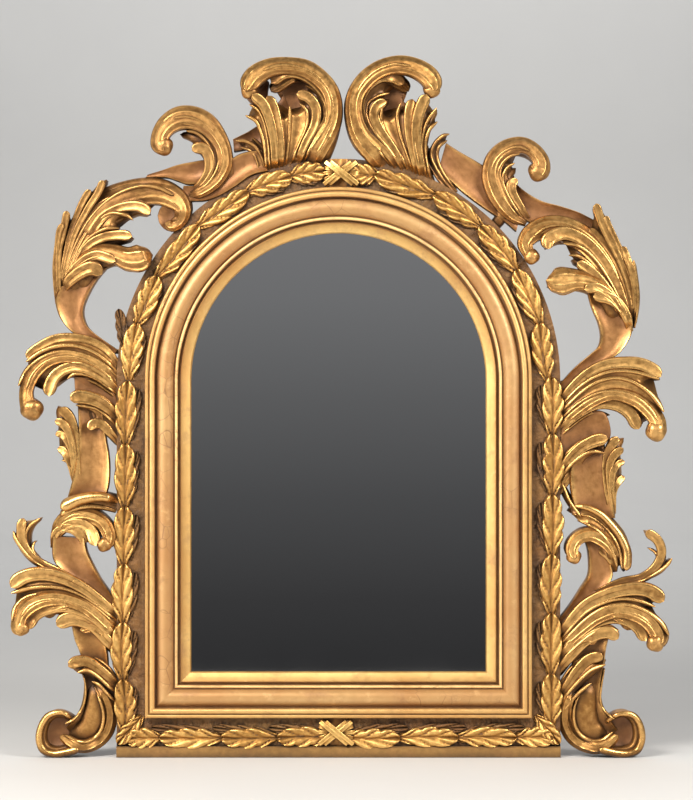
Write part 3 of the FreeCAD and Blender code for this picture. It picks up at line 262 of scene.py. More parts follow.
# Plain hollow bands: depth shares at the root and the tip, bareness of the clay, the two edges
BANDS = {
    "upper_leaf_left": [
        (0.62, 0.52, 0.85, [(60, 288), (56, 300), (58, 312), (63, 322), (72, 332), (85, 340),
            (112, 356)],
            [(108, 268), (98, 280), (89, 295), (84, 308), (85, 320), (92, 331), (118, 350)]),
    ],
    "mid_band_left": [
        (0.60, 0.58, 0.65, [(78, 400), (79, 435), (77, 455), (74, 475), (70, 490), (66, 505)],
            [(104, 415), (107, 438), (110, 455), (111, 470), (110, 485), (106, 500)]),
    ],
    "lower_leaf_left": [
        (0.62, 0.52, 0.9, [(53, 536), (53, 556), (58, 566), (70, 577), (85, 590), (102, 606),
            (122, 626)],
            [(86, 538), (88, 550), (93, 562), (101, 578), (109, 590), (116, 600), (128, 614)]),
    ],
    "foot_scroll_left": [
        (0.58, 0.42, 0.3, [(72, 626), (75, 640), (79, 650), (83, 664), (84, 684), (82, 702),
            (76, 716), (66, 727)],
            [(104, 626), (107, 645), (109, 665), (108, 690), (109, 712), (106, 730), (96, 744),
            (78, 748)]),
    ],
    "shoulder_scroll_left": [
        (0.52, 0.56, 0.9, [(146, 178), (166, 178), (178, 182), (190, 185.5), (206, 182),
            (218, 176)],
            [(148, 175), (164, 170), (178, 165), (192, 162), (206, 160), (218, 160)]),
        (0.54, 0.56, 0.9, [(180, 204), (192, 202), (206, 201), (221, 196), (236, 187), (252, 176),
            (268, 172)],
            [(184, 186), (192, 186), (204, 186), (214, 178), (224, 166), (240, 154), (262, 150)]),
        (0.44, 0.46, 0.9, [(234, 152), (248, 150), (262, 150), (270, 150)],
            [(233, 139), (247, 132), (259, 126), (268, 136)]),
    ],
    "shoulder_scroll_right": [
        (0.54, 0.52, 0.95, [(438, 172), (450, 182), (462, 193), (475, 203), (488, 212),
            (504, 222), (516, 232)],
            [(446, 143), (460, 152), (474, 160), (486, 168), (498, 182), (508, 200), (520, 216)]),
        (0.52, 0.50, 0.95, [(512, 206), (527, 222), (542, 225), (560, 225), (578, 230),
            (598, 240)],
            [(512, 180), (526, 192), (542, 201), (560, 206), (578, 212), (594, 220)]),
    ],
    "upper_leaf_right": [
        (0.62, 0.52, 0.85, [(584, 284), (590, 306), (597, 322), (600, 335), (598, 346),
            (590, 354), (574, 368), (556, 388)],
            [(630, 292), (632, 312), (632, 330), (627, 343), (618, 354), (606, 362), (588, 374),
            (566, 396)]),
    ],
    "mid_band_right": [
        (0.60, 0.56, 0.9, [(576, 444), (570, 464), (569, 484), (572, 502), (576, 516)],
            [(604, 440), (606, 460), (610, 478), (613, 498), (615, 518)]),
    ],
    "lower_leaf_right": [
        (0.62, 0.52, 0.9, [(578, 530), (586, 546), (588, 562), (587, 576), (580, 588), (570, 604),
            (552, 628)],
            [(604, 528), (606, 552), (611, 566), (612, 577), (603, 591), (586, 608), (562, 640)]),
    ],
    "foot_scroll_right": [
        (0.58, 0.42, 0.3, [(576, 630), (573, 648), (571, 668), (567, 692), (565, 714), (569, 732),
            (580, 745), (600, 749)],
            [(610, 632), (606, 648), (604, 664), (601, 684), (602, 700), (606, 712), (612, 721),
            (618, 730)]),
    ],
}

# Carved ribs of each scroll: form, breadth, and the line from the root to the tip
RIBS = {
    "upper_leaf_left": [
        ("lobe", 5, [(57, 304), (56, 270), (59, 245), (61, 232), (65, 225)]),
        ("lobe", 6, [(60, 300), (60, 255), (64, 235), (67, 222), (69, 212)]),
        ("lobe", 6, [(61, 290), (70, 240), (80, 212), (87, 198), (92, 191)]),
        ("lobe", 6, [(62, 285), (75, 238), (88, 212), (99, 195), (105, 182)]),
        ("ridge", 7, [(64, 285), (74, 252), (88, 224), (104, 205), (122, 193), (142, 187),
            (160, 189), (174, 196)]),
        ("lobe", 9, [(66, 282), (82, 246), (100, 221), (118, 210), (134, 207), (144, 209),
            (151, 215)]),
        ("ridge", 7, [(67, 278), (85, 238), (100, 221), (112, 214), (127, 216), (134, 221)]),
        ("ridge", 7, [(67, 278), (85, 244), (105, 230), (121, 229)]),
        ("lobe", 9, [(66, 280), (86, 250), (102, 239), (118, 236), (133, 237)]),
        ("ridge", 6, [(63, 286), (78, 268), (96, 258), (114, 262), (128, 270), (142, 269),
            (149, 258)]),
        ("lobe", 9, [(62, 288), (72, 273), (85, 261), (97, 256), (107, 258), (117, 262)]),
        ("lobe", 13, [(62, 292), (72, 280), (85, 271), (95, 269), (103, 275)]),
    ],
    "mid_leaf_left": [
        ("lobe", 9, [(121, 368), (108, 351), (91, 341), (72, 338), (55, 340), (40, 348),
            (28, 358)]),
        ("ridge", 8, [(121, 376), (106, 360), (90, 350), (72, 345.5), (55, 347), (40, 353),
            (28, 362)]),
        ("ridge", 7, [(121, 382), (108, 367), (92, 357), (74, 352), (58, 352), (42, 358),
            (28, 370), (20, 386)]),
        ("ridge", 6, [(121, 388), (108, 375), (94, 364), (77, 357), (60, 357), (45, 363),
            (34, 374), (28, 388)]),
        ("lobe", 11, [(121, 394), (108, 381), (94, 372), (80, 367), (66, 369), (56, 376),
            (51, 386), (50, 396)]),
        ("ridge", 7, [(121, 398), (108, 387), (97, 379), (85, 374.5), (75, 374), (68, 379)]),
        ("ridge", 6, [(122, 403), (110, 393), (99, 385), (88, 380)]),
    ],
    "mid_band_left": [
        ("lobe", 12, [(122, 424), (112, 411), (102, 403), (90, 398), (79, 397), (72, 400)]),
        ("ridge", 6, [(121, 416), (112, 404), (101, 396), (88, 393)]),
        ("ridge", 7, [(122, 432), (110, 419), (98, 409), (86, 406), (77, 405)]),
        ("lobe", 9, [(121, 446), (111, 433), (102, 424), (94, 424), (91, 430)]),
        ("lobe", 9, [(79, 484), (77, 458), (75, 434), (70, 417), (61, 408)]),
        ("lobe", 7, [(77, 484), (74, 450), (69, 431), (63, 423), (56, 421)]),
        ("lobe", 6, [(75, 484), (73, 454), (67, 439), (61, 434), (56, 435)]),
        ("lobe", 7, [(75, 484), (71, 464), (65, 452), (58, 448)]),
        ("ridge", 6, [(76, 486), (73, 472), (68, 462), (62, 460)]),
        ("roll", 11, [(120, 502), (106, 497), (92, 497), (78, 500), (62, 508)]),
        ("roll", 7, [(116, 511), (102, 507), (86, 506), (72, 509), (61, 515)]),
    ],
    "lower_leaf_left": [
        ("ridge", 6, [(57, 534), (64, 521), (76, 514), (90, 516), (100, 524), (106, 536)]),
        ("lobe", 11, [(55, 538), (68, 525), (82, 524), (92, 531), (97, 545)]),
        ("lobe", 9, [(53, 548), (56, 534), (64, 528), (74, 529), (83, 536), (84, 544)]),
        ("ridge", 6, [(84, 586), (62, 574), (45, 567), (31, 558), (21, 546), (16, 538),
            (14, 531)]),
        ("lobe", 8, [(84, 583), (60, 571), (44, 564), (31, 555), (23, 541), (22, 528), (24, 518)]),
        ("ridge", 6, [(78, 578), (55, 568), (40, 560), (29, 548), (26, 535), (31, 525),
            (41, 518)]),
        ("ridge", 5, [(40, 560), (33, 550), (34, 543), (37, 541)]),
        ("lobe", 12, [(122, 618), (102, 601), (85, 588), (68, 579), (50, 574), (34, 574),
            (22, 578), (13, 586)]),
        ("ridge", 8, [(122, 624), (102, 608), (85, 596), (65, 588), (45, 586), (28, 588),
            (13, 592)]),
        ("ridge", 7, [(122, 630), (104, 613), (85, 600), (65, 594), (45, 593), (28, 596),
            (17, 606), (14, 620)]),
        ("ridge", 6, [(122, 636), (104, 619), (85, 606), (65, 599), (45, 599), (31, 605),
            (23, 615)]),
        ("lobe", 11, [(122, 642), (104, 625), (86, 612), (65, 606), (46, 609), (34, 616),
            (29, 628)]),
        ("ridge", 7, [(122, 648), (106, 632), (90, 619), (72, 612), (55, 613)]),
        ("lobe", 13, [(122, 656), (106, 638), (95, 626), (80, 619), (68, 619), (58, 625)]),
    ],
    "foot_scroll_left": [
        ("lobe", 10, [(122, 690), (108, 675), (98, 667), (88, 661), (78, 661), (70, 665)]),
        ("ridge", 7, [(122, 698), (108, 684), (97, 674), (88, 669), (79, 671)]),
        ("ridge", 6, [(120, 684), (112, 671), (104, 663), (95, 657)]),
        ("ridge", 6, [(120, 706), (108, 693), (100, 684), (93, 680)]),
        ("ridge", 6, [(96, 690), (102, 704), (104, 718), (100, 732), (90, 740), (78, 740),
            (66, 734)]),
        ("ridge", 4, [(82, 670), (86, 682), (86, 696), (82, 709), (75, 718), (66, 723)]),
        ("roll", 7, [(74, 722), (66, 713), (57, 712), (48, 716), (42, 726), (40, 738), (44, 749),
            (55, 753), (68, 751), (80, 748)]),
    ],
    "shoulder_scroll_left": [
        ("ridge", 6, [(196, 196), (212, 186), (223, 170), (224, 154), (218, 140), (209, 128),
            (198, 121), (186, 118), (175, 120)]),
        ("ridge", 6, [(194, 194), (208, 184), (217, 170), (218, 156), (212, 143), (203, 132),
            (193, 126), (183, 125)]),
        ("ridge", 6, [(192, 193), (205, 182), (213, 168), (213, 155), (206, 142), (197, 134),
            (187, 132)]),
        ("lobe", 10, [(190, 192), (202, 184), (209, 172), (210, 160), (206, 151), (199, 149),
            (193, 152)]),
        ("ridge", 6, [(266, 178), (263, 160), (256, 148), (246, 142), (236, 142)]),
        ("ridge", 5, [(260, 178), (257, 161), (250, 151), (241, 148)]),
        ("ridge", 5, [(272, 176), (268, 158), (262, 147), (252, 138)]),
    ],
    "crest_scroll_left": [
        ("ridge", 6, [(306, 172), (324, 142), (333, 120), (332, 100), (324, 85), (310, 73),
            (293, 68), (278, 68), (264, 73)]),
        ("lobe", 10, [(308, 166), (320, 144), (329, 124), (329, 106), (321, 91), (308, 79),
            (293, 74), (281, 77), (272, 85)]),
        ("ridge", 7, [(300, 170), (312, 146), (323, 126), (324, 108), (317, 94), (306, 87)]),
        ("lobe", 9, [(294, 172), (305, 146), (315, 126), (316, 110), (308, 99), (297, 96)]),
        ("ridge", 6, [(288, 170), (299, 146), (307, 127), (307, 113), (300, 105)]),
        ("ridge", 7, [(284, 176), (288, 150), (290, 125), (290, 108)]),
        ("lobe", 9, [(279, 178), (281, 150), (278, 127), (274, 110), (268, 98)]),
        ("lobe", 9, [(274, 178), (275, 150), (271, 125), (264, 107), (253, 97)]),
        ("ridge", 6, [(270, 178), (269, 148), (265, 125), (259, 112), (250, 106)]),
        ("ridge", 6, [(267, 178), (265, 148), (261, 132), (256, 122), (246, 117)]),
    ],
    "crest_scroll_right": [
        ("ridge", 6, [(403, 178), (380, 154), (363, 136), (355, 118), (355, 102), (362, 86),
            (376, 73), (393, 67), (410, 69)]),
        ("lobe", 10, [(406, 180), (386, 152), (368, 132), (361, 116), (360, 102), (367, 88),
            (380, 79), (393, 79), (404, 85)]),
        ("ridge", 7, [(409, 180), (390, 152), (374, 132), (367, 116), (369, 104), (378, 98),
            (389, 95)]),
        ("lobe", 9, [(412, 184), (394, 152), (380, 132), (374, 118), (377, 108), (386, 103)]),
        ("ridge", 6, [(415, 186), (400, 155), (387, 136), (381, 121), (382, 109)]),
        ("ridge", 7, [(418, 186), (407, 155), (400, 135), (397, 118), (400, 105)]),
        ("lobe", 9, [(422, 188), (413, 155), (409, 132), (409, 115), (412, 101)]),
        ("lobe", 10, [(426, 190), (418, 155), (416, 132), (419, 114), (426, 97)]),
        ("ridge", 6, [(430, 190), (422, 157), (422, 138), (427, 122), (436, 110)]),
        ("ridge", 6, [(434, 190), (426, 162), (425, 144), (429, 131), (437, 123)]),
    ],
    "shoulder_scroll_right": [
        ("ridge", 6, [(520, 222), (506, 210), (495, 194), (490, 176), (495, 161), (506, 151),
            (518, 148), (528, 152)]),
        ("ridge", 6, [(522, 221), (510, 208), (501, 193), (497, 178), (501, 165), (510, 157),
            (519, 155)]),
        ("ridge", 6, [(524, 220), (514, 207), (506, 193), (502, 180), (506, 169), (514, 164)]),
        ("lobe", 9, [(528, 219), (519, 206), (512, 194), (511, 185), (517, 180)]),
        ("ridge", 6, [(452, 192), (438, 172), (431, 157), (434, 145), (442, 137), (449, 135)]),
        ("ridge", 6, [(457, 192), (443, 173), (437, 158), (439, 147), (447, 141)]),
        ("ridge", 5, [(447, 192), (433, 172), (426, 158), (428, 146)]),
    ],
    "upper_leaf_right": [
        ("ridge", 6, [(634, 328), (637, 304), (636, 286), (632, 261)]),
        ("lobe", 6, [(635, 322), (635, 296), (632, 278), (627, 262), (621, 247)]),
        ("lobe", 5, [(634, 318), (632, 286), (624, 262), (614, 240), (607, 226), (604, 217)]),
        ("lobe", 7, [(632, 318), (628, 288), (619, 262), (608, 240), (600, 223), (594, 205)]),
        ("lobe", 8, [(631, 318), (623, 282), (611, 256), (599, 240), (588, 230)]),
        ("ridge", 7, [(630, 318), (616, 274), (600, 248), (582, 233), (564, 227), (546, 228),
            (534, 236)]),
        ("lobe", 12, [(628, 318), (612, 278), (596, 254), (580, 240), (563, 234), (548, 240),
            (547, 250)]),
        ("ridge", 7, [(627, 318), (610, 284), (594, 260), (578, 247), (562, 244)]),
        ("ridge", 7, [(626, 318), (606, 286), (592, 268), (578, 257), (568, 256)]),
        ("lobe", 9, [(626, 318), (606, 290), (592, 274), (576, 263)]),
        ("ridge", 6, [(627, 322), (610, 303), (594, 293), (578, 289), (562, 294), (551, 290)]),
        ("lobe", 9, [(629, 326), (618, 306), (606, 294), (594, 288), (583, 290)]),
        ("lobe", 11, [(630, 332), (624, 314), (614, 302), (602, 297), (592, 297)]),
    ],
    "mid_leaf_right": [
        ("lobe", 11, [(556, 406), (572, 387), (588, 373), (605, 365), (622, 363), (638, 364),
            (650, 369), (659, 377)]),
        ("ridge", 7, [(556, 412), (573, 392), (590, 379), (608, 372), (626, 371), (642, 374),
            (657, 379)]),
        ("ridge", 8, [(556, 417), (574, 398), (592, 384), (612, 378), (630, 381), (646, 391),
            (656, 402), (662, 412)]),
        ("ridge", 6, [(556, 424), (574, 406), (594, 394), (614, 391), (634, 397), (648, 408),
            (656, 420)]),
        ("ridge", 7, [(556, 428), (576, 409), (596, 397), (616, 397), (634, 404), (645, 413),
            (650, 424)]),
        ("lobe", 11, [(556, 434), (576, 415), (597, 404), (616, 405), (630, 414), (638, 429)]),
        ("ridge", 7, [(556, 440), (575, 423), (592, 413), (610, 415)]),
    ],
    "mid_band_right": [
        ("lobe", 11, [(556, 478), (568, 460), (580, 448), (593, 441), (606, 438)]),
        ("ridge", 6, [(556, 470), (566, 454), (578, 443), (590, 437)]),
        ("ridge", 7, [(556, 486), (568, 467), (580, 456), (592, 451), (604, 453)]),
        ("lobe", 9, [(558, 494), (568, 478), (578, 470), (588, 469)]),
        ("lobe", 8, [(610, 512), (606, 480), (606, 460), (610, 446), (617, 437)]),
        ("lobe", 7, [(612, 512), (609, 481), (609, 464), (614, 454), (622, 448)]),
        ("lobe", 6, [(613, 512), (611, 486), (612, 472), (617, 464), (624, 461)]),
        ("lobe", 6, [(614, 514), (613, 494), (617, 483), (624, 476)]),
        ("ridge", 5, [(556, 472), (564, 488), (570, 502), (580, 516)]),
    ],
    "lower_leaf_right": [
        ("roll", 8, [(570, 506), (585, 507), (600, 514), (611, 525), (620, 537), (626, 552),
            (625, 570)]),
        ("ridge", 6, [(572, 514), (588, 516), (602, 525), (613, 538), (619, 552), (621, 568)]),
        ("ridge", 7, [(578, 520), (594, 528), (606, 540), (613, 554), (616, 566)]),
        ("lobe", 11, [(614, 572), (612, 560), (606, 552), (598, 548)]),
        ("ridge", 6, [(594, 596), (622, 584), (642, 580), (657, 572), (666, 565), (671, 558)]),
        ("lobe", 8, [(594, 592), (620, 581), (641, 577), (655, 567), (661, 553), (657, 540),
            (645, 531)]),
        ("ridge", 5, [(650, 572), (657, 560), (655, 552), (648, 548)]),
        ("lobe", 12, [(554, 642), (570, 620), (584, 605), (600, 596), (618, 590), (636, 588),
            (650, 591), (662, 600)]),
        ("ridge", 7, [(554, 648), (570, 627), (586, 611), (603, 602), (620, 598), (638, 600),
            (654, 606)]),
        ("ridge", 8, [(554, 652), (571, 632), (588, 616), (606, 606), (626, 604), (644, 610),
            (659, 621), (667, 634)]),
        ("ridge", 6, [(554, 657), (572, 637), (590, 621), (608, 612), (626, 611), (642, 617),
            (653, 628)]),
        ("lobe", 10, [(554, 662), (573, 642), (592, 625), (610, 618), (626, 620), (638, 628),
            (644, 640)]),
        ("ridge", 7, [(554, 668), (573, 648), (590, 634), (606, 626), (618, 630)]),
        ("lobe", 11, [(554, 676), (570, 656), (584, 641), (598, 633), (609, 632), (617, 638)]),
    ],
    "foot_scroll_right": [
        ("lobe", 10, [(554, 704), (566, 686), (576, 671), (588, 659), (602, 655)]),
        ("ridge", 7, [(554, 712), (566, 694), (577, 681), (590, 669), (604, 663)]),
        ("ridge", 6, [(554, 696), (564, 677), (575, 663), (588, 652)]),
        ("ridge", 6, [(556, 720), (568, 704), (578, 692), (590, 682)]),
        ("ridge", 6, [(580, 692), (574, 706), (574, 722), (580, 734), (591, 740), (602, 739),
            (612, 731)]),
        ("ridge", 4, [(604, 668), (601, 686), (600, 700), (604, 710), (613, 718)]),
        ("roll", 7, [(606, 722), (616, 714), (627, 713), (635, 717), (640, 727), (641, 739),
            (636, 750), (624, 753), (610, 751), (598, 748)]),
    ],
}

# Garland: ends of the leaves as places down the sides, as degrees from the crown along the
# arch, and as places across along the bottom
SIDE_TIPS = {
    -1: [(128, 381), (126, 443), (125.5, 506), (124.5, 563.5), (123.5, 622), (123.5, 678.6),
         (125, 730)],
    1: [(551, 377), (551.5, 433.5), (551.5, 494), (551.5, 554), (551, 612.6), (550.5, 673),
        (551, 723)],
}
ARCH_TIPS = {-1: [3.6, 13, 25.5, 42, 60, 74, 89], 1: [3.6, 10, 27, 42.4, 58, 74, 89]}
BOTTOM_TIPS = {-1: [127, 160, 221, 277, 331], 1: [553, 516, 458, 400, 345]}
CORNER_LEAVES = {-1: [(143, 715), (118, 743)], 1: [(535, 715), (559, 743)]}
STRAY_LEAF = [(124, 350), (119, 309)]
ARCH_LEAF_RADIUS = SIGHT_HALF_WIDTH + 0.0865
BOTTOM_LEVEL = SIGHT_BOTTOM - (LEAF_RADIUS - SIGHT_HALF_WIDTH)
# Half breadth, foot and rise of a garland leaf and of a low one behind it
LEAF_HALF = 0.0162
LEAF_BASE = GROUND_DEPTH - 0.0008
LEAF_RISE = 0.0092
LOW_HALF = 0.0088
LOW_RISE = 0.0056
# Ground of the frieze: its edges, its foot and the strips across it
INNER = SIGHT_HALF_WIDTH + 0.064
OUTER = SIGHT_HALF_WIDTH + 0.104
GROUND_FOOT = 0.0151
GROUND_STRIPS = 8
# Its roughness, edge and body behind the front, all in depth, and its wear and bare clay
GROUND_ROUGH = (-0.0010, 0.0016)
GROUND_EDGE = -0.0004
GROUND_SINK = 0.0002
GROUND_BODY = 0.0019
GROUND_WEAR = 0.15
GROUND_CLAY = 0.4
SLIVER = 0.0002
# Ties: half their height, rings along a ribbon, how it falls at its ends, its thickness
TIE_HALF = 0.0195
RIBBON_RINGS = 24
RIBBON_FALL = 0.004
RIBBON_BODY = 0.0045


def across(px):
    return (px - CENTRE_PX) * PIXEL


def height(py):
    if py < SPRING_PX:
        return SPRING_HEIGHT + (SPRING_PX - py) * PIXEL
    return SPRING_HEIGHT * (BASE_PX - py) / (BASE_PX - SPRING_PX)


def steps(line):
    """Lengths of the pieces of a line."""
    return np.hypot(*np.diff(line, axis=0).T)


def run_along(line):
    """Distance of every point of a line from its start."""
    return np.concatenate([[0], np.cumsum(steps(line))])


def smooth_line(points, step):
    """Evenly spaced points of a smooth line through the rows given."""
    rows = np.array(points, dtype=float)
    padded = np.vstack([2 * rows[0] - rows[1], rows, 2 * rows[-1] - rows[-2]])
    fine = []
    for i in range(len(rows) - 1):
        p, q, r, s = padded[i:i + 4]
        for k in range(SPLINE_STEPS):
            t = k / SPLINE_STEPS
            fine.append((2 * q + (r - p) * t + (2 * p - 5 * q + 4 * r - s) * t ** 2
                         + (3 * q - p - 3 * r + s) * t ** 3) / 2)
    fine.append(rows[-1])
    fine = np.array(fine)
    run = run_along(fine[:, :2])
    count = max(int(run[-1] / step), 8)
    at = np.linspace(0, run[-1], count + 1)
    return np.column_stack([np.interp(at, run, fine[:, k]) for k in range(fine.shape[1])])


def resampled(line, count):
    """Places along a line, as many as asked for."""
    at = np.linspace(0, len(line) - 1, count)
    return np.column_stack([np.interp(at, range(len(line)), line[:, k]) for k in (0, 1)])


def in_space(line):
    """Pixel line turned into x and z."""
    return np.array([(across(p[0]), height(p[1])) for p in line])


def asides(line):
    """Unit vectors square to a line in the plane of the wall."""
    way = np.gradient(line, axis=0)
    way /= np.maximum(np.hypot(way[:, 0], way[:, 1]), 1e-9)[:, None]
    return np.column_stack([-way[:, 1], way[:, 0]])


def point(place, arm, share, depth):
    """Point a share of an arm away from a place on the wall, at a depth in front of it."""
    x, z = place + arm * share
    return (x, -depth, z)


def round_end(left, reach, least):
    """Share of the full breadth at a distance from a round end."""
    return np.sqrt(np.clip(1 - (1 - np.clip(left / reach, 0, 1)) ** 2, least, 1))


def signed_power(value, power):
    return abs(value) ** power * (1 if value > 0 else -1)


class Shell:
    """Vertices, faces, wear with painted sheen, and bare clay (bole) of one piece, gathered from
    closed forms.
    """

    def __init__(self):
        self.points = []
        self.faces = []
        self.wear_and_sheen = []
        self.bole = []

    def rings(self, rings, wear_and_sheen=0.0, bole=0.0):
        """Closed tube through rings of points, capped at both ends. Wear with its painted sheen,
        and bole, are each a number, a ring of numbers, or such a ring for each ring of points."""
        start = len(self.points)
        count, around = len(rings), len(rings[0])
        for ring in rings:
            self.points.extend(ring)
        self.wear_and_sheen.extend(np.broadcast_to(wear_and_sheen, (count, around)).ravel())
        self.bole.extend(np.broadcast_to(bole, (count, around)).ravel())
        for i in range(count - 1):
            for k in range(around):
                a = start + i * around + k
                b = start + i * around + (k + 1) % around
                self.faces.append((a, b, b + around, a + around))
        self.faces.append(tuple(start + k for k in reversed(range(around))))
        last = start + (count - 1) * around
        self.faces.append(tuple(last + k for k in range(around)))

    def piece(self, name, material, slot, *nodes):
        mesh = bpy.data.meshes.new(name)
        mesh.from_pydata(self.points, [], self.faces)
        work = bmesh.new()
        work.from_mesh(mesh)
        bmesh.ops.recalc_face_normals(work, faces=work.faces)
        work.to_mesh(mesh)
        work.free()
        for key, values in (("wear_and_sheen", self.wear_and_sheen), ("bole", self.bole)):
            attribute = mesh.attributes.new(key, "FLOAT", "POINT")
            attribute.data.foreach_set("value", np.array(values, dtype=np.float32))
        mesh.polygons.foreach_set("use_smooth", [True] * len(mesh.polygons))
        mesh.set_sharp_from_angle(angle=radians(62))
        mesh.materials.append(material)
        made = bpy.data.objects.new(name, mesh)
        bpy.context.scene.collection.objects.link(made)
        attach(made, "mirror")
        if nodes:
            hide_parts(*nodes)
        return made


def mirrored(half):
    """Whole section from its left half, whose last row is the middle one."""
    return half + [(-u, *rest) for u, *rest in half[-2::-1]]


# Front sections of a strand as shares of its half breadth: place across, rise, wear with painted
# sheen (painted highlight on crests and rims, painted shade on the edges that turn away)
SECTIONS = {
    "ridge": mirrored([(-1.0, -0.85, 0.0), (-0.90, -0.45, 0.2), (-0.68, -0.14, 0.4),
                       (-0.42, 0.08, 0.7), (-0.16, 0.22, 1.0), (0.0, 0.26, 1.0)]),
    "lobe": [(-1.0, -0.8, 0.1), (-0.97, -0.34, 0.5), (-0.88, -0.04, 0.9), (-0.72, 0.06, 1.0),
             (-0.44, -0.01, 0.6), (0.0, -0.08, 0.4), (0.44, 0.0, 0.5), (0.72, 0.06, 0.8),
             (0.88, -0.04, 0.8), (0.97, -0.34, 0.4), (1.0, -0.8, 0.1)],
    "roll": mirrored([(-1.0, -0.9, 0.0), (-0.94, -0.42, 0.2), (-0.76, 0.02, 0.5),
                      (-0.50, 0.26, 0.8), (-0.24, 0.38, 1.0), (0.0, 0.42, 1.0)]),
    "hood": [(-1.0, -1.15, 0.0), (-0.97, -0.78, 0.2), (-0.91, -0.46, 0.8), (-0.85, -0.38, 0.9),
             (-0.77, -0.34, 0.3), (-0.62, -0.16, 0.2), (-0.50, -0.03, 0.5), (-0.44, 0.04, 1.0),
             (-0.36, 0.01, 0.4), (-0.12, 0.05, 0.25), (0.16, 0.05, 0.3), (0.30, 0.02, 0.5),
             (0.38, 0.08, 1.0), (0.46, 0.02, 0.3), (0.62, -0.09, 0.2), (0.78, -0.13, 0.4),
             (0.86, -0.08, 0.7), (0.93, -0.02, 1.0), (0.98, -0.36, 0.5), (1.0, -0.95, 0.0)],
}
# Flanks behind such a front: place across, share of the way back
FLANKS = [(0.92, 0.5), (0.62, 1.0), (-0.62, 1.0), (-0.92, 0.5)]
# Growth of a rib's breadth at four shares of its length
SPREAD_AT = [0, 0.25, 0.6, 1]
RIDGE_SPREAD = [0.55, 0.80, 1.0, 1.0]
LOBE_SPREAD = [0.60, 0.92, 1.14, 1.32]
# Section of a plain core strand, boxed out towards its corners
CORE_AROUND = 16
CORE_LOOP = [(signed_power(cos(2 * pi * k / CORE_AROUND), 0.8),
              signed_power(sin(2 * pi * k / CORE_AROUND), 0.55)) for k in range(CORE_AROUND)]
# Section of a hollow band: place across, rise in metres, wear with painted highlight on the rims,
# bare clay
BAND_SECTION = mirrored([
    (-1.0, -0.006, 0.0, 0.0), (-0.97, -0.0015, 0.6, 0.0), (-0.92, 0.0, 1.0, 0.1),
    (-0.84, -0.0008, 0.8, 0.5), (-0.70, -0.0030, 0.4, 0.9), (-0.50, -0.0050, 0.3, 1.0),
    (-0.25, -0.0064, 0.3, 1.0), (0.0, -0.0068, 0.3, 1.0)])
BAND_RINGS = 60
BAND_FULL = 0.018


def core_rows(cores):
    """Places, half breadths and front depths along the core strands of a carving."""
    out = []
    for root, tip, rows in cores:
        line = smooth_line(rows, 3)
        place = in_space(line)
        half = line[:, 2] * PIXEL / 2
        front = CARVING_DEPTH * np.linspace(root, tip, len(line))
        out.append((place, half, front))
    return out


def relief(cores, place):
    """Front depth of the carving's mass at a place, from its core strands."""
    heights = [MASS_FLOOR]
    for line, half, front in cores:
        off = np.hypot(line[:, 0] - place[0], line[:, 1] - place[1]) / half
        heights.append(float(np.max(front - MASS_ROUND * half * off ** 2)))
    heights = np.array(heights)
    top = heights.max()
    joined = BLEND * np.log(np.sum(np.exp((heights - top) / BLEND)))
    return float(top + joined - BLEND * BLEND_DROP)


def front_along(cores, place, reach=3):
    """Front depths of the mass along a line, with their small steps taken out."""
    depth = np.array([relief(cores, p) for p in place])
    kernel = np.ones(2 * reach + 1) / (2 * reach + 1)
    return np.convolve(np.pad(depth, reach, mode="edge"), kernel, mode="valid")


def core_strand(shell, place, half, front):
    """Solid strand from the flat back of the carving to a little under its front."""
    run = run_along(place)
    near = np.minimum(run, run[-1] - run)
    end = (1 - np.clip(near / CORE_END_RUN, 0, 1)) ** 1.5
    lowered = dive(front - CORE_SINK - CORE_END_SINK * end, run, place)
    breadth = half * CORE_BREADTH * round_end(near, half * 1.1, 0.02)
    rings = []
    for spot, side, a, f in zip(place, asides(place), breadth, lowered):
        thick = (f - CARVING_BACK) / 2
        middle = CARVING_BACK + thick
        rings.append([point(spot, side * a, u, middle + thick * v) for u, v in CORE_LOOP])
    shell.rings(rings, CORE_WEAR_AND_SHEEN)


def dive(depth, run, place):
    """Depths that sink where a rib sets out and over the frame, so its root is under the leaves."""
    x = np.abs(place[:, 0])
    up = np.maximum(place[:, 1] - SPRING_HEIGHT, 0)
    beyond = np.clip((np.hypot(x, up) - HALF_WIDTH + ROOT_INSET) / ROOT_RISE_RUN, 0, 1)
    start = ROOT_START + (1 - ROOT_START) * np.clip(run / ROOT_RUN, 0, 1)
    share = start * beyond * beyond * (3 - 2 * beyond)
    return np.minimum(depth, ROOT_DEPTH + (depth - ROOT_DEPTH) * share)


def tip_rise(t):
    """How far the end of a rib curls forward, by its share of the length."""
    return TIP_LIFT * np.clip((t - TIP_LIFT_START) / TIP_LIFT_RUN, 0, 1) ** 2


def strand(shell, form, place, side, half, front, tall, body):
    """Strand with a carved front, as tall as given, and flanks that run back through its body."""
    section = SECTIONS[form]
    rings = []
    for spot, s, a, f, h, b in zip(place, side, half, front, tall, body):
        arm = s * a
        back = max(f - b, CARVING_BACK)
        ring = [point(spot, arm, u, f + h * rise) for u, rise, _ in section]
        ring += [point(spot, arm, u, f - h + (back - f + h) * share) for u, share in FLANKS]
        rings.append(ring)
    # The flanks get no wear or sheen: painted shade on the sides that run back
    shell.rings(rings, [worn_and_lit for _, _, worn_and_lit in section] + [0.0] * len(FLANKS))


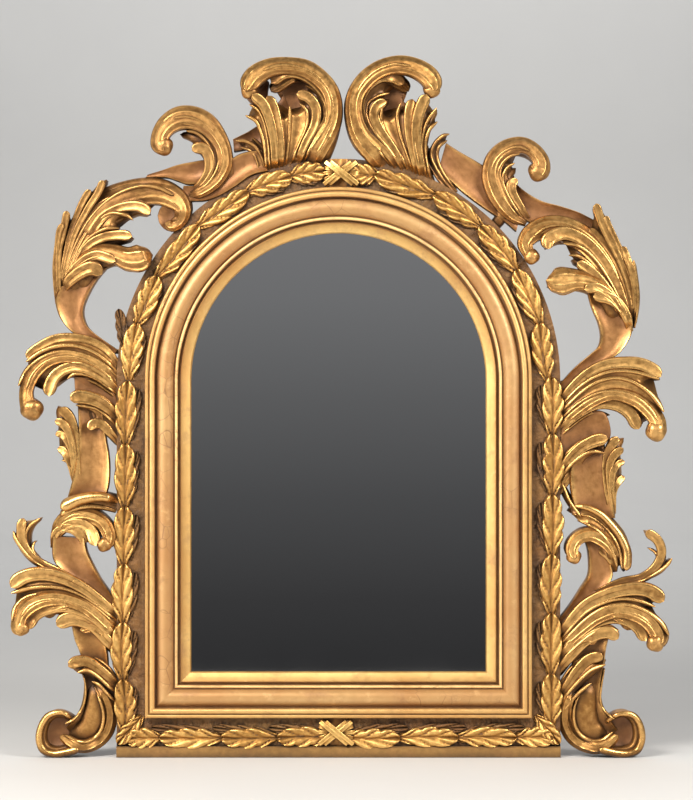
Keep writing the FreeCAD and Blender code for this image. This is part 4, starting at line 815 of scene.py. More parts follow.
def rib(shell, form, breadth, points, cores):
    """Carved rib that follows the front of the mass and stands a little proud of it."""
    place = in_space(smooth_line(points, RING_STEP_PX))
    length = np.sum(steps(place))
    t = np.linspace(0, 1, len(place))
    left = (1 - t) * length
    if form == "ridge":
        half = breadth * PIXEL / 2 * RIDGE_SHARE * np.interp(t, SPREAD_AT, RIDGE_SPREAD)
        taper = np.clip(left / (RIDGE_TAPER * half), 0, 1) ** 0.55
        half *= taper * (1 - RIDGE_TIP) + RIDGE_TIP
    else:
        half = breadth * PIXEL / 2 * np.interp(t, SPREAD_AT, LOBE_SPREAD)
        half *= round_end(left, LOBE_TAPER * half, ROUND_LEAST)
    depth = front_along(cores, place) + (RIB_LIFT + tip_rise(t))
    depth = dive(depth, t * length, place)
    share, least = RIB_BODY
    strand(shell, form, place, asides(place), half, depth, half, np.maximum(share * half, least))


def strap(shell, points, cores):
    """Broad softly hollowed band with a fine raised rim, rounded at its tip."""
    line = smooth_line(points, RING_STEP_PX)
    place = in_space(line)
    way = np.diff(place, axis=0)
    turn = np.sum(way[:-1, 0] * way[1:, 1] - way[:-1, 1] * way[1:, 0])
    side = asides(place) * (1 if turn > 0 else -1)
    length = np.sum(steps(place))
    t = np.linspace(0, 1, len(place))
    half = line[:, 2] * PIXEL / 2
    half = half * round_end((1 - t) * length, half, ROUND_LEAST)
    depth = dive(front_along(cores, place) + STRAP_LIFT + tip_rise(t), t * length, place)
    share, least = STRAP_BODY
    strand(shell, "hood", place, side, half, depth, np.minimum(half, STRAP_TALLEST),
           np.maximum(share * half, least))


def rib_line(points, cores):
    """Evenly parted places and front depths along a rib."""
    place = in_space(resampled(smooth_line(points, WEB_STEP_PX), WEB_RINGS))
    return place, dive(front_along(cores, place), run_along(place), place)


def web(shell, first, second, cores):
    """Hollow flute of wood between two neighbouring ribs, drawn back between their tips."""
    here, front_here = rib_line(first, cores)
    there, front_there = rib_line(second, cores)
    gaps = np.hypot(*(there - here).T)
    if gaps.mean() > WEB_REACH_PX * PIXEL or gaps.max() > WEB_WIDEST * WEB_REACH_PX * PIXEL:
        return
    notch = float(np.clip(WEB_NOTCH * gaps[-1] / np.sum(steps(here)), *WEB_NOTCH_LIMITS))
    shares = np.linspace(0, 1, WEB_STATIONS)
    rings = []
    for i in range(WEB_RINGS):
        along = i / (WEB_RINGS - 1)
        drop = WEB_TIP_DROP * max(0.0, (along - WEB_TIP_START) / WEB_TIP_RUN) ** 2
        ring = []
        for v in shares:
            at = along * (WEB_END - notch * 4 * v * (1 - v)) * (WEB_RINGS - 1)
            low = min(int(at), WEB_RINGS - 2)
            part = at - low
            a = here[low] * (1 - part) + here[low + 1] * part
            b = there[low] * (1 - part) + there[low + 1] * part
            gap = float(np.hypot(*(b - a)))
            front = front_here[low] * (1 - v) + front_there[low] * v
            hollow = min(WEB_HOLLOW * gap, WEB_HOLLOW_MOST) * 4 * v * (1 - v)
            x, z = a * (1 - v) + b * v
            ring.append((x, -(front + WEB_LIFT - hollow - drop), z))
        for x, y, z in (ring[-1], ring[0]):
            ring.append((x, -max(-y - WEB_BODY, CARVING_BACK), z))
        rings.append(ring)
    # Wear and sheen of the flute: painted highlight along its edges, painted shade down its hollow
    # middle
    shell.rings(rings, [0.75 - 0.5 * 4 * v * (1 - v) for v in shares] + [0.0, 0.0])


def band(shell, root, tip, bare, left, right):
    """Broad plain band between two edges, hollow across and rimmed."""
    rails = [resampled(in_space(smooth_line(edge, 1.0)), BAND_RINGS) for edge in (left, right)]
    rings = []
    for i, (a, b) in enumerate(zip(*rails)):
        middle, arm = (a + b) / 2, (b - a) / 2
        f = CARVING_DEPTH * (root + (tip - root) * i / (BAND_RINGS - 1))
        f = float(dive(np.array([f]), 1.0, middle[None, :])[0])
        scale = min(1.0, float(np.hypot(*arm)) / BAND_FULL)
        half_way = (f + CARVING_BACK) / 2
        ring = [point(middle, arm, u, f + rise * scale) for u, rise, _, _ in BAND_SECTION]
        ring += [point(middle, arm, u, d) for u, d in (
            (0.96, half_way), (0.90, CARVING_BACK), (-0.90, CARVING_BACK), (-0.96, half_way))]
        rings.append(ring)
    shell.rings(rings, [worn_and_lit for _, _, worn_and_lit, _ in BAND_SECTION] + [0.0] * 4,
                [bare * clay for _, _, _, clay in BAND_SECTION] + [0.0] * 4)


# Broad bands that lead each carving: place and breadth from the root to the tip
STRAPS = {
    "upper_leaf_left": [
        [(80, 240, 24), (98, 213, 26), (120, 200, 26), (142, 194, 26), (160, 193, 26),
            (175, 199, 24), (183, 209, 18), (181, 220, 15), (173, 226, 13), (166, 224, 8)],
        [(68, 284, 10), (82, 262, 15), (98, 253, 17), (114, 254, 19), (128, 259, 24),
            (140, 259, 28), (149, 256, 22), (153, 255, 12)],
    ],
    "mid_leaf_left": [
        [(116, 378, 14), (94, 362, 16), (78, 356, 17), (60, 355, 18), (45, 361, 18),
            (34, 373, 17), (28, 388, 15), (28, 400, 16), (32, 409, 22), (34, 414, 17)],
    ],
    "lower_leaf_left": [
        [(56, 536, 12), (62, 522, 14), (76, 515, 15), (92, 516, 15), (104, 523, 15),
            (110, 535, 14), (107, 547, 13)],
        [(118, 634, 14), (100, 616, 15), (84, 604, 16), (62, 597, 17), (44, 598, 18),
            (30, 605, 18), (22, 615, 16), (20, 626, 16), (23, 633, 14)],
        [(78, 603, 10), (64, 604, 12), (53, 609, 13), (46, 617, 12)],
        [(112, 640, 9), (100, 630, 11), (90, 626, 12), (81, 630, 10)],
    ],
    "foot_scroll_left": [
        [(97, 684, 9), (106, 698, 12), (110, 714, 14), (107, 730, 15), (98, 741, 15),
            (86, 746, 14), (74, 744, 12), (61, 735, 8)],
    ],
    "shoulder_scroll_left": [
        [(188, 198, 7), (204, 191, 12), (217, 180, 15), (225, 165, 16), (224, 150, 16),
            (217, 136, 19), (207, 125, 23), (194, 119, 25), (180, 119, 25), (168, 126, 22),
            (161, 137, 19), (161, 147, 19), (165, 152, 14)],
    ],
    "crest_scroll_left": [
        [(300, 174, 26), (318, 148, 24), (331, 126, 20), (334, 108, 18), (330, 92, 18),
            (320, 80, 19), (306, 71, 20), (288, 68, 19), (270, 70, 20), (256, 78, 22),
            (249, 88, 20), (247, 94, 14)],
        [(304, 77, 9), (291, 79, 13), (279, 85, 15), (271, 92, 11)],
    ],
    "crest_scroll_right": [
        [(400, 180, 26), (378, 157, 24), (361, 138, 21), (354, 118, 18), (355, 98, 18),
            (365, 82, 19), (380, 71, 19), (398, 67, 20), (414, 70, 21), (427, 78, 22),
            (433, 88, 20), (434, 94, 14)],
        [(376, 77, 9), (389, 79, 13), (401, 84, 15), (409, 91, 11)],
    ],
    "shoulder_scroll_right": [
        [(526, 224, 6), (513, 217, 12), (503, 206, 17), (495, 191, 20), (491, 175, 20),
            (495, 160, 20), (506, 150, 20), (520, 146, 18), (532, 151, 17), (540, 162, 18),
            (539, 172, 21), (535, 178, 16)],
    ],
    "upper_leaf_right": [
        [(622, 306, 18), (607, 268, 24), (588, 244, 27), (567, 231, 27), (548, 228, 25),
            (533, 233, 21), (525, 243, 17), (527, 252, 13), (532, 258, 13)],
        [(626, 318, 10), (608, 294, 15), (592, 283, 17), (576, 280, 21), (562, 281, 28),
            (552, 282, 24), (545, 281, 12)],
    ],
    "mid_leaf_right": [
        [(562, 422, 14), (590, 401, 15), (612, 393, 16), (634, 398, 18), (648, 409, 18),
            (656, 421, 18), (655, 431, 21), (653, 437, 16)],
    ],
    "lower_leaf_right": [
        [(618, 566, 13), (613, 551, 14), (604, 540, 16), (590, 534, 15), (577, 538, 14),
            (571, 548, 13), (573, 558, 12)],
        [(560, 646, 13), (580, 628, 15), (596, 616, 16), (616, 609, 17), (636, 613, 18),
            (650, 622, 19), (657, 634, 20), (655, 645, 20)],
        [(598, 612, 10), (612, 613, 12), (624, 619, 14), (631, 629, 13)],
        [(562, 654, 9), (574, 643, 11), (586, 638, 12), (596, 641, 10)],
    ],
    "foot_scroll_right": [
        [(572, 688, 9), (566, 704, 12), (565, 720, 14), (571, 735, 15), (582, 744, 15),
            (596, 747, 14), (608, 743, 12), (617, 734, 8)],
    ],
}

# Curled ends of the scrolls: place, radius, depth share of the front
KNOBS = {
    "shoulder_scroll_left": [(164, 147, 9.8, 0.73)],
    "shoulder_scroll_right": [(538, 172, 10.5, 0.73)],
    "upper_leaf_right": [(531, 257, 8, 0.70)],
    "mid_leaf_left": [(33, 409, 11.5, 0.75)],
    "mid_leaf_right": [(655, 431, 10.5, 0.75)],
    "lower_leaf_left": [(105, 544, 7.5, 0.70), (23, 627, 8, 0.77)],
    "lower_leaf_right": [(573, 556, 7.5, 0.70), (654, 642, 9, 0.77)],
    "crest_scroll_left": [(250, 93, 8.5, 0.90)],
    "crest_scroll_right": [(431, 92, 8.5, 0.90)],
}
# Their form: lobes and how far these twist over the front, how they swell sideways and
# forwards, depth as a share of the radius, lift, first ring and spacing in degrees
KNOB_LOBES = 4
KNOB_TWIST = 2.4
KNOB_SWELL = 0.045
KNOB_RIDGE = 0.0005
KNOB_DEPTH = 0.9
KNOB_LIFT = 0.0035
KNOB_RINGS = 15
KNOB_FIRST = 4
KNOB_STEP = 11
KNOB_AROUND = 30
KNOB_CLAY = 0.30


def knob(shell, px, py, radius, share):
    """Lumpy rolled end of a scroll, its lobes twisted around the front."""
    middle = np.array([across(px), height(py)])
    radius *= PIXEL
    front = CARVING_DEPTH * share + KNOB_LIFT
    rings, wear_and_sheen = [], []
    for i in range(KNOB_RINGS):
        polar = radians(KNOB_FIRST + KNOB_STEP * i)
        out = radius * sin(polar) ** 0.8
        ring, worn_and_lit = [], []
        for k in range(KNOB_AROUND):
            turn = 2 * pi * k / KNOB_AROUND
            lump = cos(KNOB_LOBES * turn + KNOB_TWIST * polar + px)
            reach = out * (1 + KNOB_SWELL * lump * sin(polar))
            depth = front - radius * KNOB_DEPTH * (1 - cos(polar)) + KNOB_RIDGE * lump * sin(polar)
            ring.append(point(middle, np.array([cos(turn), sin(turn)]), reach, depth))
            # Wear and painted sheen, brighter on the lobes that stand out
            worn_and_lit.append(0.42 + 0.22 * lump)
        rings.append(ring)
        wear_and_sheen.append(worn_and_lit)
    shell.rings(rings, wear_and_sheen, KNOB_CLAY)


# Hollow grounds behind the ribs: depth share of the front, bareness of the clay, outline
RECESSES = {
    "crest_scroll_left": [
        (0.40, 0.95, [(268, 178), (268, 150), (268, 125), (272, 108), (279, 101), (282, 92),
            (272, 84), (284, 71), (306, 70), (326, 88), (334, 108), (330, 134), (312, 172)]),
        (0.52, 0.8, [(244, 95), (250, 86), (260, 80), (269, 82), (268, 90), (267, 100),
            (262, 108), (252, 104)]),
    ],
    "crest_scroll_right": [
        (0.40, 0.95, [(432, 190), (424, 150), (420, 126), (412, 108), (404, 101), (403, 92),
            (410, 84), (398, 71), (376, 72), (356, 88), (350, 108), (358, 136), (392, 178)]),
    ],
    "upper_leaf_left": [
        (0.60, 0.6, [(158, 216), (161, 208), (168, 205), (176, 207), (182, 214), (182, 224),
            (175, 230), (166, 230), (160, 224)]),
    ],
    "mid_band_left": [
        (0.50, 0.7, [(74, 376), (98, 379), (114, 392), (118, 412), (96, 408), (78, 402)]),
    ],
    "mid_band_right": [
        (0.50, 0.7, [(562, 424), (580, 414), (604, 412), (610, 438), (590, 450), (560, 462)]),
    ],
    "foot_scroll_left": [
        (0.36, 0.9, [(41, 738), (45, 724), (54, 716), (66, 718), (74, 728), (74, 742), (64, 750),
            (48, 750)]),
    ],
    "foot_scroll_right": [
        (0.36, 0.9, [(638, 738), (635, 724), (627, 715), (615, 718), (608, 728), (608, 742),
            (616, 750), (632, 750)]),
    ],
}


# Low wear and sheen: painted shade on these grounds, besides their bare clay
RECESS_WEAR_AND_SHEEN = 0.05
# Section of such a ground: share of its outline, depth under the front
DISH = [(0.99, 0.001), (0.95, 0.0), (0.80, 0.0012), (0.60, 0.0026), (0.40, 0.0036),
        (0.20, 0.0041), (0.05, 0.0042)]


def recess(shell, share, bare, outline):
    """Shallow dished ground, closed at the back."""
    rim = in_space(smooth_line(outline + outline[:1], 2.0)[:-1])
    middle = rim.mean(axis=0)
    front = CARVING_DEPTH * share
    section = [(0.98, CARVING_BACK), (1.0, (front + CARVING_BACK) / 2)]
    section += [(scale, front - drop) for scale, drop in DISH]
    rings = [[(x, -depth, z) for x, z in middle + (rim - middle) * scale]
             for scale, depth in section]
    shell.rings(rings, RECESS_WEAR_AND_SHEEN, bare)


# Garland leaf: share of its length from the root, share of its half breadth
LEAF_SHARES = [(0, 0.34), (0.06, 0.44), (0.14, 0.60), (0.30, 0.90), (0.45, 1.0), (0.60, 1.0),
               (0.72, 0.93), (0.84, 0.82), (0.92, 0.66), (0.97, 0.46), (0.99, 0.28), (1, 0.10)]
# The same for the share of its rise
LEAF_SWELL = [(0, 0.15), (0.10, 0.50), (0.35, 0.85), (0.7, 1.0), (0.93, 1.05), (1, 0.75)]
# Places across it, as shares of the half breadth
LEAF_STATIONS = [-1.0, -0.96, -0.89, -0.80, -0.68, -0.52, -0.36, -0.22, -0.12, -0.05, 0.0,
                 0.05, 0.12, 0.22, 0.36, 0.52, 0.68, 0.80, 0.89, 0.96, 1.0]
# Lobes on the lively side and the quiet side: place of a notch, spacing, depth of the notches
LEAF_LOBES = [(0.42, 0.28, 0.24), (0.30, 0.33, 0.12)]
# Fine form of a leaf: slant of its folds, bow of its rib, shift of its lobes, depths of the
# swellings, folds and rib, and where its rim begins
FOLD_SLANT = 0.36
LEAF_BOW = 0.14
LEAF_SHIFT = 0.03
SWELL_RISE = 0.0018
FOLD_DEPTH = 0.0022
RIB_DEPTH = 0.0016
RIB_BREADTH = 0.10
RIM_START = 0.74
RIM_RUN = 0.16
LEAF_RINGS = 64


def garland_leaf(shell, root, tip, seed, half=LEAF_HALF, rise=LEAF_RISE):
    """Dished leaf with a fine raised rim, notched edges and folds that run back to its rib."""
    root, tip = np.array(root, dtype=float), np.array(tip, dtype=float)
    length = float(np.hypot(*(tip - root)))
    way = (tip - root) / length
    off = np.array([-way[1], way[0]]) * (1 if sin(5.3 * seed + 0.8) > 0 else -1)
    bend = LEAF_BOW * sin(7.1 * seed + 1.3)
    shift = LEAF_SHIFT * sin(3.7 * seed)
    rings, wear_and_sheen = [], []
    for i in range(LEAF_RINGS + 1):
        s = i / LEAF_RINGS
        plain = float(np.interp(s, *zip(*LEAF_SHARES))) * half
        swell = float(np.interp(s, *zip(*LEAF_SWELL)))
        spine = root + way * (s * length) + off * (bend * half * sin(pi * s))
        ring, worn_and_lit = [], []
        for u in LEAF_STATIONS:
            first, spacing, force = LEAF_LOBES[0 if u > 0 else 1]
            notch = 1 - abs(sin(pi * (s - first - shift) / spacing)) ** 0.7
            turn = abs(sin(pi * (s - first - shift + FOLD_SLANT * (1 - abs(u))) / spacing))
            away = min(1.0, abs(u) * 2.2)
            dome = (1 - min(abs(u), 1.0) ** 8) ** 0.5
            groove = np.exp(-(u / RIB_BREADTH) ** 2)
            edge = np.clip((abs(u) - RIM_START) / RIM_RUN, 0, 1)
            end = np.clip((s - 0.94) / 0.04, 0, 1)
            fold = (1 - turn) ** 2.2 * away
            depth = LEAF_BASE + rise * swell * dome * (0.60 + 0.40 * abs(u) ** 1.5)
            folds = (SWELL_RISE * turn * away - FOLD_DEPTH * fold) * dome
            depth += folds - RIB_DEPTH * groove * swell
            ring.append(point(spine, off, plain * (1 - force * notch) * u, depth))
            # Painted highlight on the rim and the tip, painted shade in the folds and along the
            # sunk rib
            light = 0.36 + 0.64 * edge + 0.6 * end - 0.8 * fold - 0.4 * groove
            worn_and_lit.append(float(np.clip(light, 0, 1)))
        ring += [point(spine, off, plain * u, LEAF_BASE - 0.0015) for u in (0.8, -0.8)]
        rings.append(ring)
        wear_and_sheen.append(worn_and_lit + [0.0, 0.0])
    shell.rings(rings, wear_and_sheen)


def low_leaf(shell, root, tip, seed):
    """Leaf of the ground, half hidden behind the garland."""
    garland_leaf(shell, root, tip, seed, LOW_HALF, LOW_RISE)


def ground(shell, rails, seed):
    """Rough punched ground of the frieze between two edges, given as rows of x and z."""
    dice = np.random.default_rng(seed)
    last = GROUND_STRIPS
    rings = []
    for inner, outer in rails:
        inner, outer = np.array(inner), np.array(outer)
        ring = []
        for k in range(last + 1):
            x, z = inner + (outer - inner) * k / last
            rough = dice.uniform(*GROUND_ROUGH) if 0 < k < last else GROUND_EDGE
            ring.append((x, -(GROUND_DEPTH - GROUND_SINK + rough), z))
        ring += [(x, -(GROUND_DEPTH - GROUND_BODY), z) for x, z in (outer, inner)]
        rings.append(ring)
    shell.rings(rings, GROUND_WEAR, GROUND_CLAY)


def ribbon(shell, start, end, breadth, depth):
    """Flat ribbon with a bead along each edge, arched over what it binds."""
    start, end = np.array(start, dtype=float), np.array(end, dtype=float)
    way = (end - start) / np.hypot(*(end - start))
    off = np.array([-way[1], way[0]])
    section = SECTIONS["lobe"]
    rings = []
    for i in range(RIBBON_RINGS + 1):
        t = i / RIBBON_RINGS
        middle = start + (end - start) * t
        top = depth - RIBBON_FALL * abs(2 * t - 1) ** 2.5
        ring = [point(middle, off, breadth / 2 * u, top + rise * breadth / 2 * 0.5)
                for u, rise, _ in section]
        ring += [point(middle, off, breadth / 2 * u, top - RIBBON_BODY) for u in (0.9, -0.9)]
        rings.append(ring)
    shell.rings(rings, [worn_and_lit for _, _, worn_and_lit in section] + [0.0, 0.0])


def arch_point(degrees, radius):
    a = radians(degrees)
    return np.array([radius * sin(a), SPRING_HEIGHT + radius * cos(a)])


def neighbours(row):
    """Numbered pairs of a row: the near and the far end of each leaf."""
    return enumerate(zip(row, row[1:]))


# Materials
class Shader:
    """One node material, built up by small calls."""

    def __init__(self, name):
        self.material = bpy.data.materials.new(name)
        self.material.use_nodes = True
        self.tree = self.material.node_tree
        self.tree.nodes.clear()
        self.place = self.node("ShaderNodeTexCoord").outputs["Object"]

    def node(self, kind, **sets):
        made = self.tree.nodes.new(kind)
        for key, value in sets.items():
            setattr(made, key, value)
        return made

    def put(self, socket, value):
        if hasattr(value, "is_linked"):
            self.tree.links.new(value, socket)
        else:
            socket.default_value = value

    def noise(self, scale, detail=4.0, rough=0.55, place=None):
        made = self.node("ShaderNodeTexNoise")
        self.put(made.inputs["Vector"], place or self.place)
        made.inputs["Scale"].default_value = scale
        made.inputs["Detail"].default_value = detail
        made.inputs["Roughness"].default_value = rough
        return made.outputs["Fac"]

    def stretched(self, x, y, z):
        made = self.node("ShaderNodeMapping")
        self.put(made.inputs["Vector"], self.place)
        made.inputs["Scale"].default_value = (x, y, z)
        return made.outputs["Vector"]

    def ramp(self, value, stops):
        made = self.node("ShaderNodeValToRGB")
        self.put(made.inputs["Fac"], value)
        ramp = made.color_ramp
        while len(ramp.elements) < len(stops):
            ramp.elements.new(0.5)
        for element, (at, colour) in zip(ramp.elements, stops):
            element.position = at
            element.color = colour if len(colour) == 4 else (*colour, 1)
        return made.outputs["Color"]

    def patches(self, value, low, high):
        """Black under the low mark, white over the high one."""
        return self.ramp(value, [(low, (0, 0, 0)), (high, (1, 1, 1))])

    def maths(self, operation, a, b=0.0, clamp=False):
        made = self.node("ShaderNodeMath", operation=operation, use_clamp=clamp)
        self.put(made.inputs[0], a)
        self.put(made.inputs[1], b)
        return made.outputs[0]

    def times(self, a, b):
        return self.maths("MULTIPLY", a, b)

    def fit(self, value, low, high, to_low=0.0, to_high=1.0):
        made = self.node("ShaderNodeMapRange", clamp=True)
        self.put(made.inputs["Value"], value)
        for key, number in (("From Min", low), ("From Max", high),
                            ("To Min", to_low), ("To Max", to_high)):
            made.inputs[key].default_value = number
        return made.outputs["Result"]

    def mix(self, share, a, b, blend="MIX"):
        made = self.node("ShaderNodeMix", data_type="RGBA", blend_type=blend)
        self.put(made.inputs["Factor"], share)
        for key, value in (("A", a), ("B", b)):
            socket = [s for s in made.inputs if s.name == key and s.type == "RGBA"][0]
            if hasattr(value, "is_linked"):
                self.put(socket, value)
            else:
                socket.default_value = (*value, 1)
        return [s for s in made.outputs if s.type == "RGBA"][0]

    def attribute(self, name):
        return self.node("ShaderNodeAttribute", attribute_name=name).outputs["Fac"]

    def shade(self, distance):
        made = self.node("ShaderNodeAmbientOcclusion", samples=6)
        made.inputs["Distance"].default_value = distance
        return made.outputs["AO"]

    def axis(self, letter):
        made = self.node("ShaderNodeSeparateXYZ")
        self.put(made.inputs[0], self.place)
        return made.outputs[letter]

    def bump(self, value, strength, distance, below=None):
        made = self.node("ShaderNodeBump")
        made.inputs["Strength"].default_value = strength
        made.inputs["Distance"].default_value = distance
        self.put(made.inputs["Height"], value)
        if below is not None:
            self.put(made.inputs["Normal"], below)
        return made.outputs["Normal"]

    def finish(self, colour, metallic, rough, normal=None, **fixed):
        made = self.node("ShaderNodeBsdfPrincipled")
        for key, value in (("Base Color", colour), ("Metallic", metallic), ("Roughness", rough)):
            self.put(made.inputs[key], (*value, 1) if isinstance(value, tuple) else value)
        if normal is not None:
            self.put(made.inputs["Normal"], normal)
        for key, value in fixed.items():
            made.inputs[key.replace("_", " ")].default_value = value
        out = self.node("ShaderNodeOutputMaterial")
        self.tree.links.new(made.outputs[0], out.inputs["Surface"])
        return self.material


CLAY_DARK = (0.20, 0.075, 0.026)
CLAY_PALE = (0.42, 0.19, 0.072)
BARE_WOOD = (0.17, 0.095, 0.045)
AGE_WASH = (0.60, 0.29, 0.10)
RUBBED_TONE = (0.85, 0.55, 0.25)
CRACK_TONE = (0.16, 0.07, 0.03)


def gilding(name, bright, middle, deep, reach, red_share, metal, gloss, edge=0.28):
    """Water gilding over clay, with painted shade in the hollows and wear with painted sheen on the
    ridges.
    """
    s = Shader(name)
    # Painted shade: ambient occlusion darkens the gold in the hollows
    hollow = s.fit(s.shade(reach), 0.34, 1.0)
    broad = s.noise(11.0, 3.0)
    fine = s.noise(140.0, 5.0, 0.6)
    grain = s.noise(620.0, 3.0, 0.6)
    worn_and_lit = s.attribute("wear_and_sheen")
    lit = s.maths("ADD", s.times(hollow, 1 - edge), s.times(worn_and_lit, edge))
    lit = s.maths("ADD", lit, s.fit(fine, 0.3, 0.7, -0.10, 0.10))
    lit = s.maths("ADD", lit, s.fit(broad, 0.35, 0.65, -0.08, 0.08), clamp=True)
    between = tuple((d + m) / 2 for d, m in zip(deep, middle))
    # Deep is painted shade, bright is burnish with painted highlight
    colour = s.ramp(lit, [(0.0, deep), (0.34, between), (0.66, middle), (0.96, bright)])
    clay_share = s.times(s.patches(s.noise(38.0, 6.0, 0.65), 0.50, 0.66), red_share)
    red = s.times(s.attribute("bole"), 0.85)
    red_all = s.maths("MAXIMUM", clay_share, s.times(red, s.fit(fine, 0.25, 0.7, 0.55, 1.0)))
    clay = s.ramp(s.noise(60.0, 4.0), [(0.3, CLAY_DARK), (0.7, CLAY_PALE)])
    colour = s.mix(red_all, colour, clay)
    back = s.fit(s.axis("Y"), -0.014, -0.006)
    colour = s.mix(s.times(back, 0.85), colour, BARE_WOOD)
    solid = s.maths("SUBTRACT", 1.0, s.maths("MAXIMUM", back, s.times(red_all, 0.55)))
    metallic = s.times(s.times(solid, s.fit(lit, 0.1, 0.7, 0.35, 1.0)), metal)
    rough = s.fit(s.maths("ADD", s.times(fine, 0.5), s.times(worn_and_lit, -0.35)),
                  -0.1, 0.35, gloss, gloss + 0.26)
    normal = s.bump(s.noise(46.0, 3.0), 0.22, 0.0020)
    normal = s.bump(s.maths("ADD", fine, s.times(grain, 0.4)), 0.28, 0.0008, normal)
    return s.finish(colour, metallic, rough, normal)


def moulding(name, stops, metal, rough, cracks=False, span=0.070, grit=0.0):
    """Gilt moulding toned across its section, from the sight edge outwards, with painted highlights
    on its crests and painted shade in its grooves. Grit is the height of a rough, stained ground,
    whose hollows also get deeper painted shade."""
    if grit:
        stain_share, stain_tone = 0.75, (0.05, 0.020, 0.006)
        shade_reach, painted_shade_share, painted_shade_tone = 0.014, 0.95, (0.022, 0.010, 0.004)
    else:
        stain_share, stain_tone = 0.5, (0.26, 0.115, 0.045)
        shade_reach, painted_shade_share, painted_shade_tone = 0.004, 0.45, (0.16, 0.075, 0.03)
    s = Shader(name)
    x = s.maths("ABSOLUTE", s.axis("X"))
    z = s.maths("SUBTRACT", s.axis("Z"), SPRING_HEIGHT)
    up = s.maths("MAXIMUM", z, 0.0)
    reach = s.maths("SQRT", s.maths("ADD", s.times(x, x), s.times(up, up)))
    out = s.maths("MAXIMUM", s.maths("SUBTRACT", reach, SIGHT_HALF_WIDTH),
                  s.maths("SUBTRACT", SIGHT_BOTTOM, s.axis("Z")))
    wander = s.fit(s.noise(30.0, 3.0), 0.3, 0.7, -0.0004, 0.0004)
    colour = s.ramp(s.fit(s.maths("ADD", out, wander), 0.0, span),
                    [(at / span, tone) for at, tone in stops])
    broad = s.noise(9.0, 4.0)
    fine = s.noise(120.0, 5.0, 0.6)
    grain = s.noise(560.0, 3.0, 0.6)
    colour = s.mix(s.fit(broad, 0.35, 0.68, 0.0, 0.42), colour, AGE_WASH, "MULTIPLY")
    stain = s.patches(s.noise(21.0, 7.0, 0.7), 0.52, 0.68)
    colour = s.mix(s.times(stain, stain_share), colour, stain_tone)
    rubbed = s.patches(s.noise(52.0, 6.0, 0.7), 0.58, 0.72)
    colour = s.mix(s.times(rubbed, 0.35), colour, RUBBED_TONE)
    # Painted shade: ambient occlusion darkens the grooves, and on a rough ground the hollows round
    # the leaves
    hollow = s.fit(s.shade(shade_reach), 0.30, 0.95)
    colour = s.mix(s.times(s.maths("SUBTRACT", 1.0, hollow), painted_shade_share), colour, painted_shade_tone)
    tall = s.maths("ADD", fine, s.times(grain, 0.4))
    if cracks:
        edge = s.node("ShaderNodeTexVoronoi", feature="DISTANCE_TO_EDGE")
        s.put(edge.inputs["Vector"], s.place)
        edge.inputs["Scale"].default_value = 34.0
        line = s.fit(edge.outputs["Distance"], 0.004, 0.022, 1.0, 0.0)
        patch = s.fit(s.noise(7.0, 2.0), 0.50, 0.62)
        crack = s.times(line, patch)
        colour = s.mix(s.times(crack, 0.55), colour, CRACK_TONE)
        tall = s.maths("SUBTRACT", tall, crack)
    clean = s.maths("SUBTRACT", 1.0, s.times(stain, 0.5))
    metallic = s.times(s.times(clean, s.fit(hollow, 0.2, 1.0, 0.4, 1.0)), metal)
    normal = s.bump(s.noise(40.0, 3.0), 0.22, 0.0016)
    if grit:
        normal = s.bump(s.noise(150.0, 6.0, 0.7), 0.9, grit, normal)
    normal = s.bump(tall, 0.24, 0.0006, normal)
    return s.finish(colour, metallic, s.fit(fine, 0.3, 0.7, rough, rough + 0.2), normal)


def wood(name, pale, dark, along):
    """Bare wood with grain along one axis."""
    s = Shader(name)
    scale = {"x": (2.5, 60, 60), "z": (60, 60, 2.5)}[along]
    grain = s.noise(2.2, 6.0, 0.6, s.stretched(*scale))
    blotch = s.noise(14.0, 3.0)
    tone = s.maths("ADD", s.times(grain, 0.7), s.times(blotch, 0.4))
    colour = s.ramp(tone, [(0.3, dark), (0.75, pale)])
    normal = s.bump(grain, 0.4, 0.0008)
    return s.finish(colour, 0.0, s.fit(grain, 0.3, 0.7, 0.72, 0.9), normal)


def metal(name, colour, tarnish, rough):
    """Old metal with stained patches."""
    s = Shader(name)
    shade = s.mix(s.patches(s.noise(90.0, 5.0), 0.40, 0.62), colour, tarnish)
    normal = s.bump(s.noise(500.0, 3.0), 0.2, 0.0004)
    return s.finish(shade, 0.9, s.fit(s.noise(70.0), 0.3, 0.7, rough, rough + 0.2), normal)


# Tones of the carved gold: bright for burnish with painted highlight, middle, deep for painted
# shade with some patina in the hollows
GOLD_BRIGHT = (0.84, 0.49, 0.165)
GOLD_MIDDLE = (0.31, 0.142, 0.037)
GOLD_DEEP = (0.018, 0.008, 0.003)
carved_gold = gilding("carved_gold", GOLD_BRIGHT, GOLD_MIDDLE, GOLD_DEEP,
                      0.022, 0.20, 0.92, 0.27)
rubbed_gold = gilding("rubbed_gold", (0.62, 0.345, 0.115), (0.24, 0.108, 0.030), GOLD_DEEP,
                      0.022, 0.26, 0.86, 0.30)
garland_gold = gilding("garland_gold", (1.0, 0.64, 0.215), (0.46, 0.225, 0.052),
                       (0.022, 0.010, 0.004), 0.009, 0.10, 0.84, 0.28, edge=0.36)
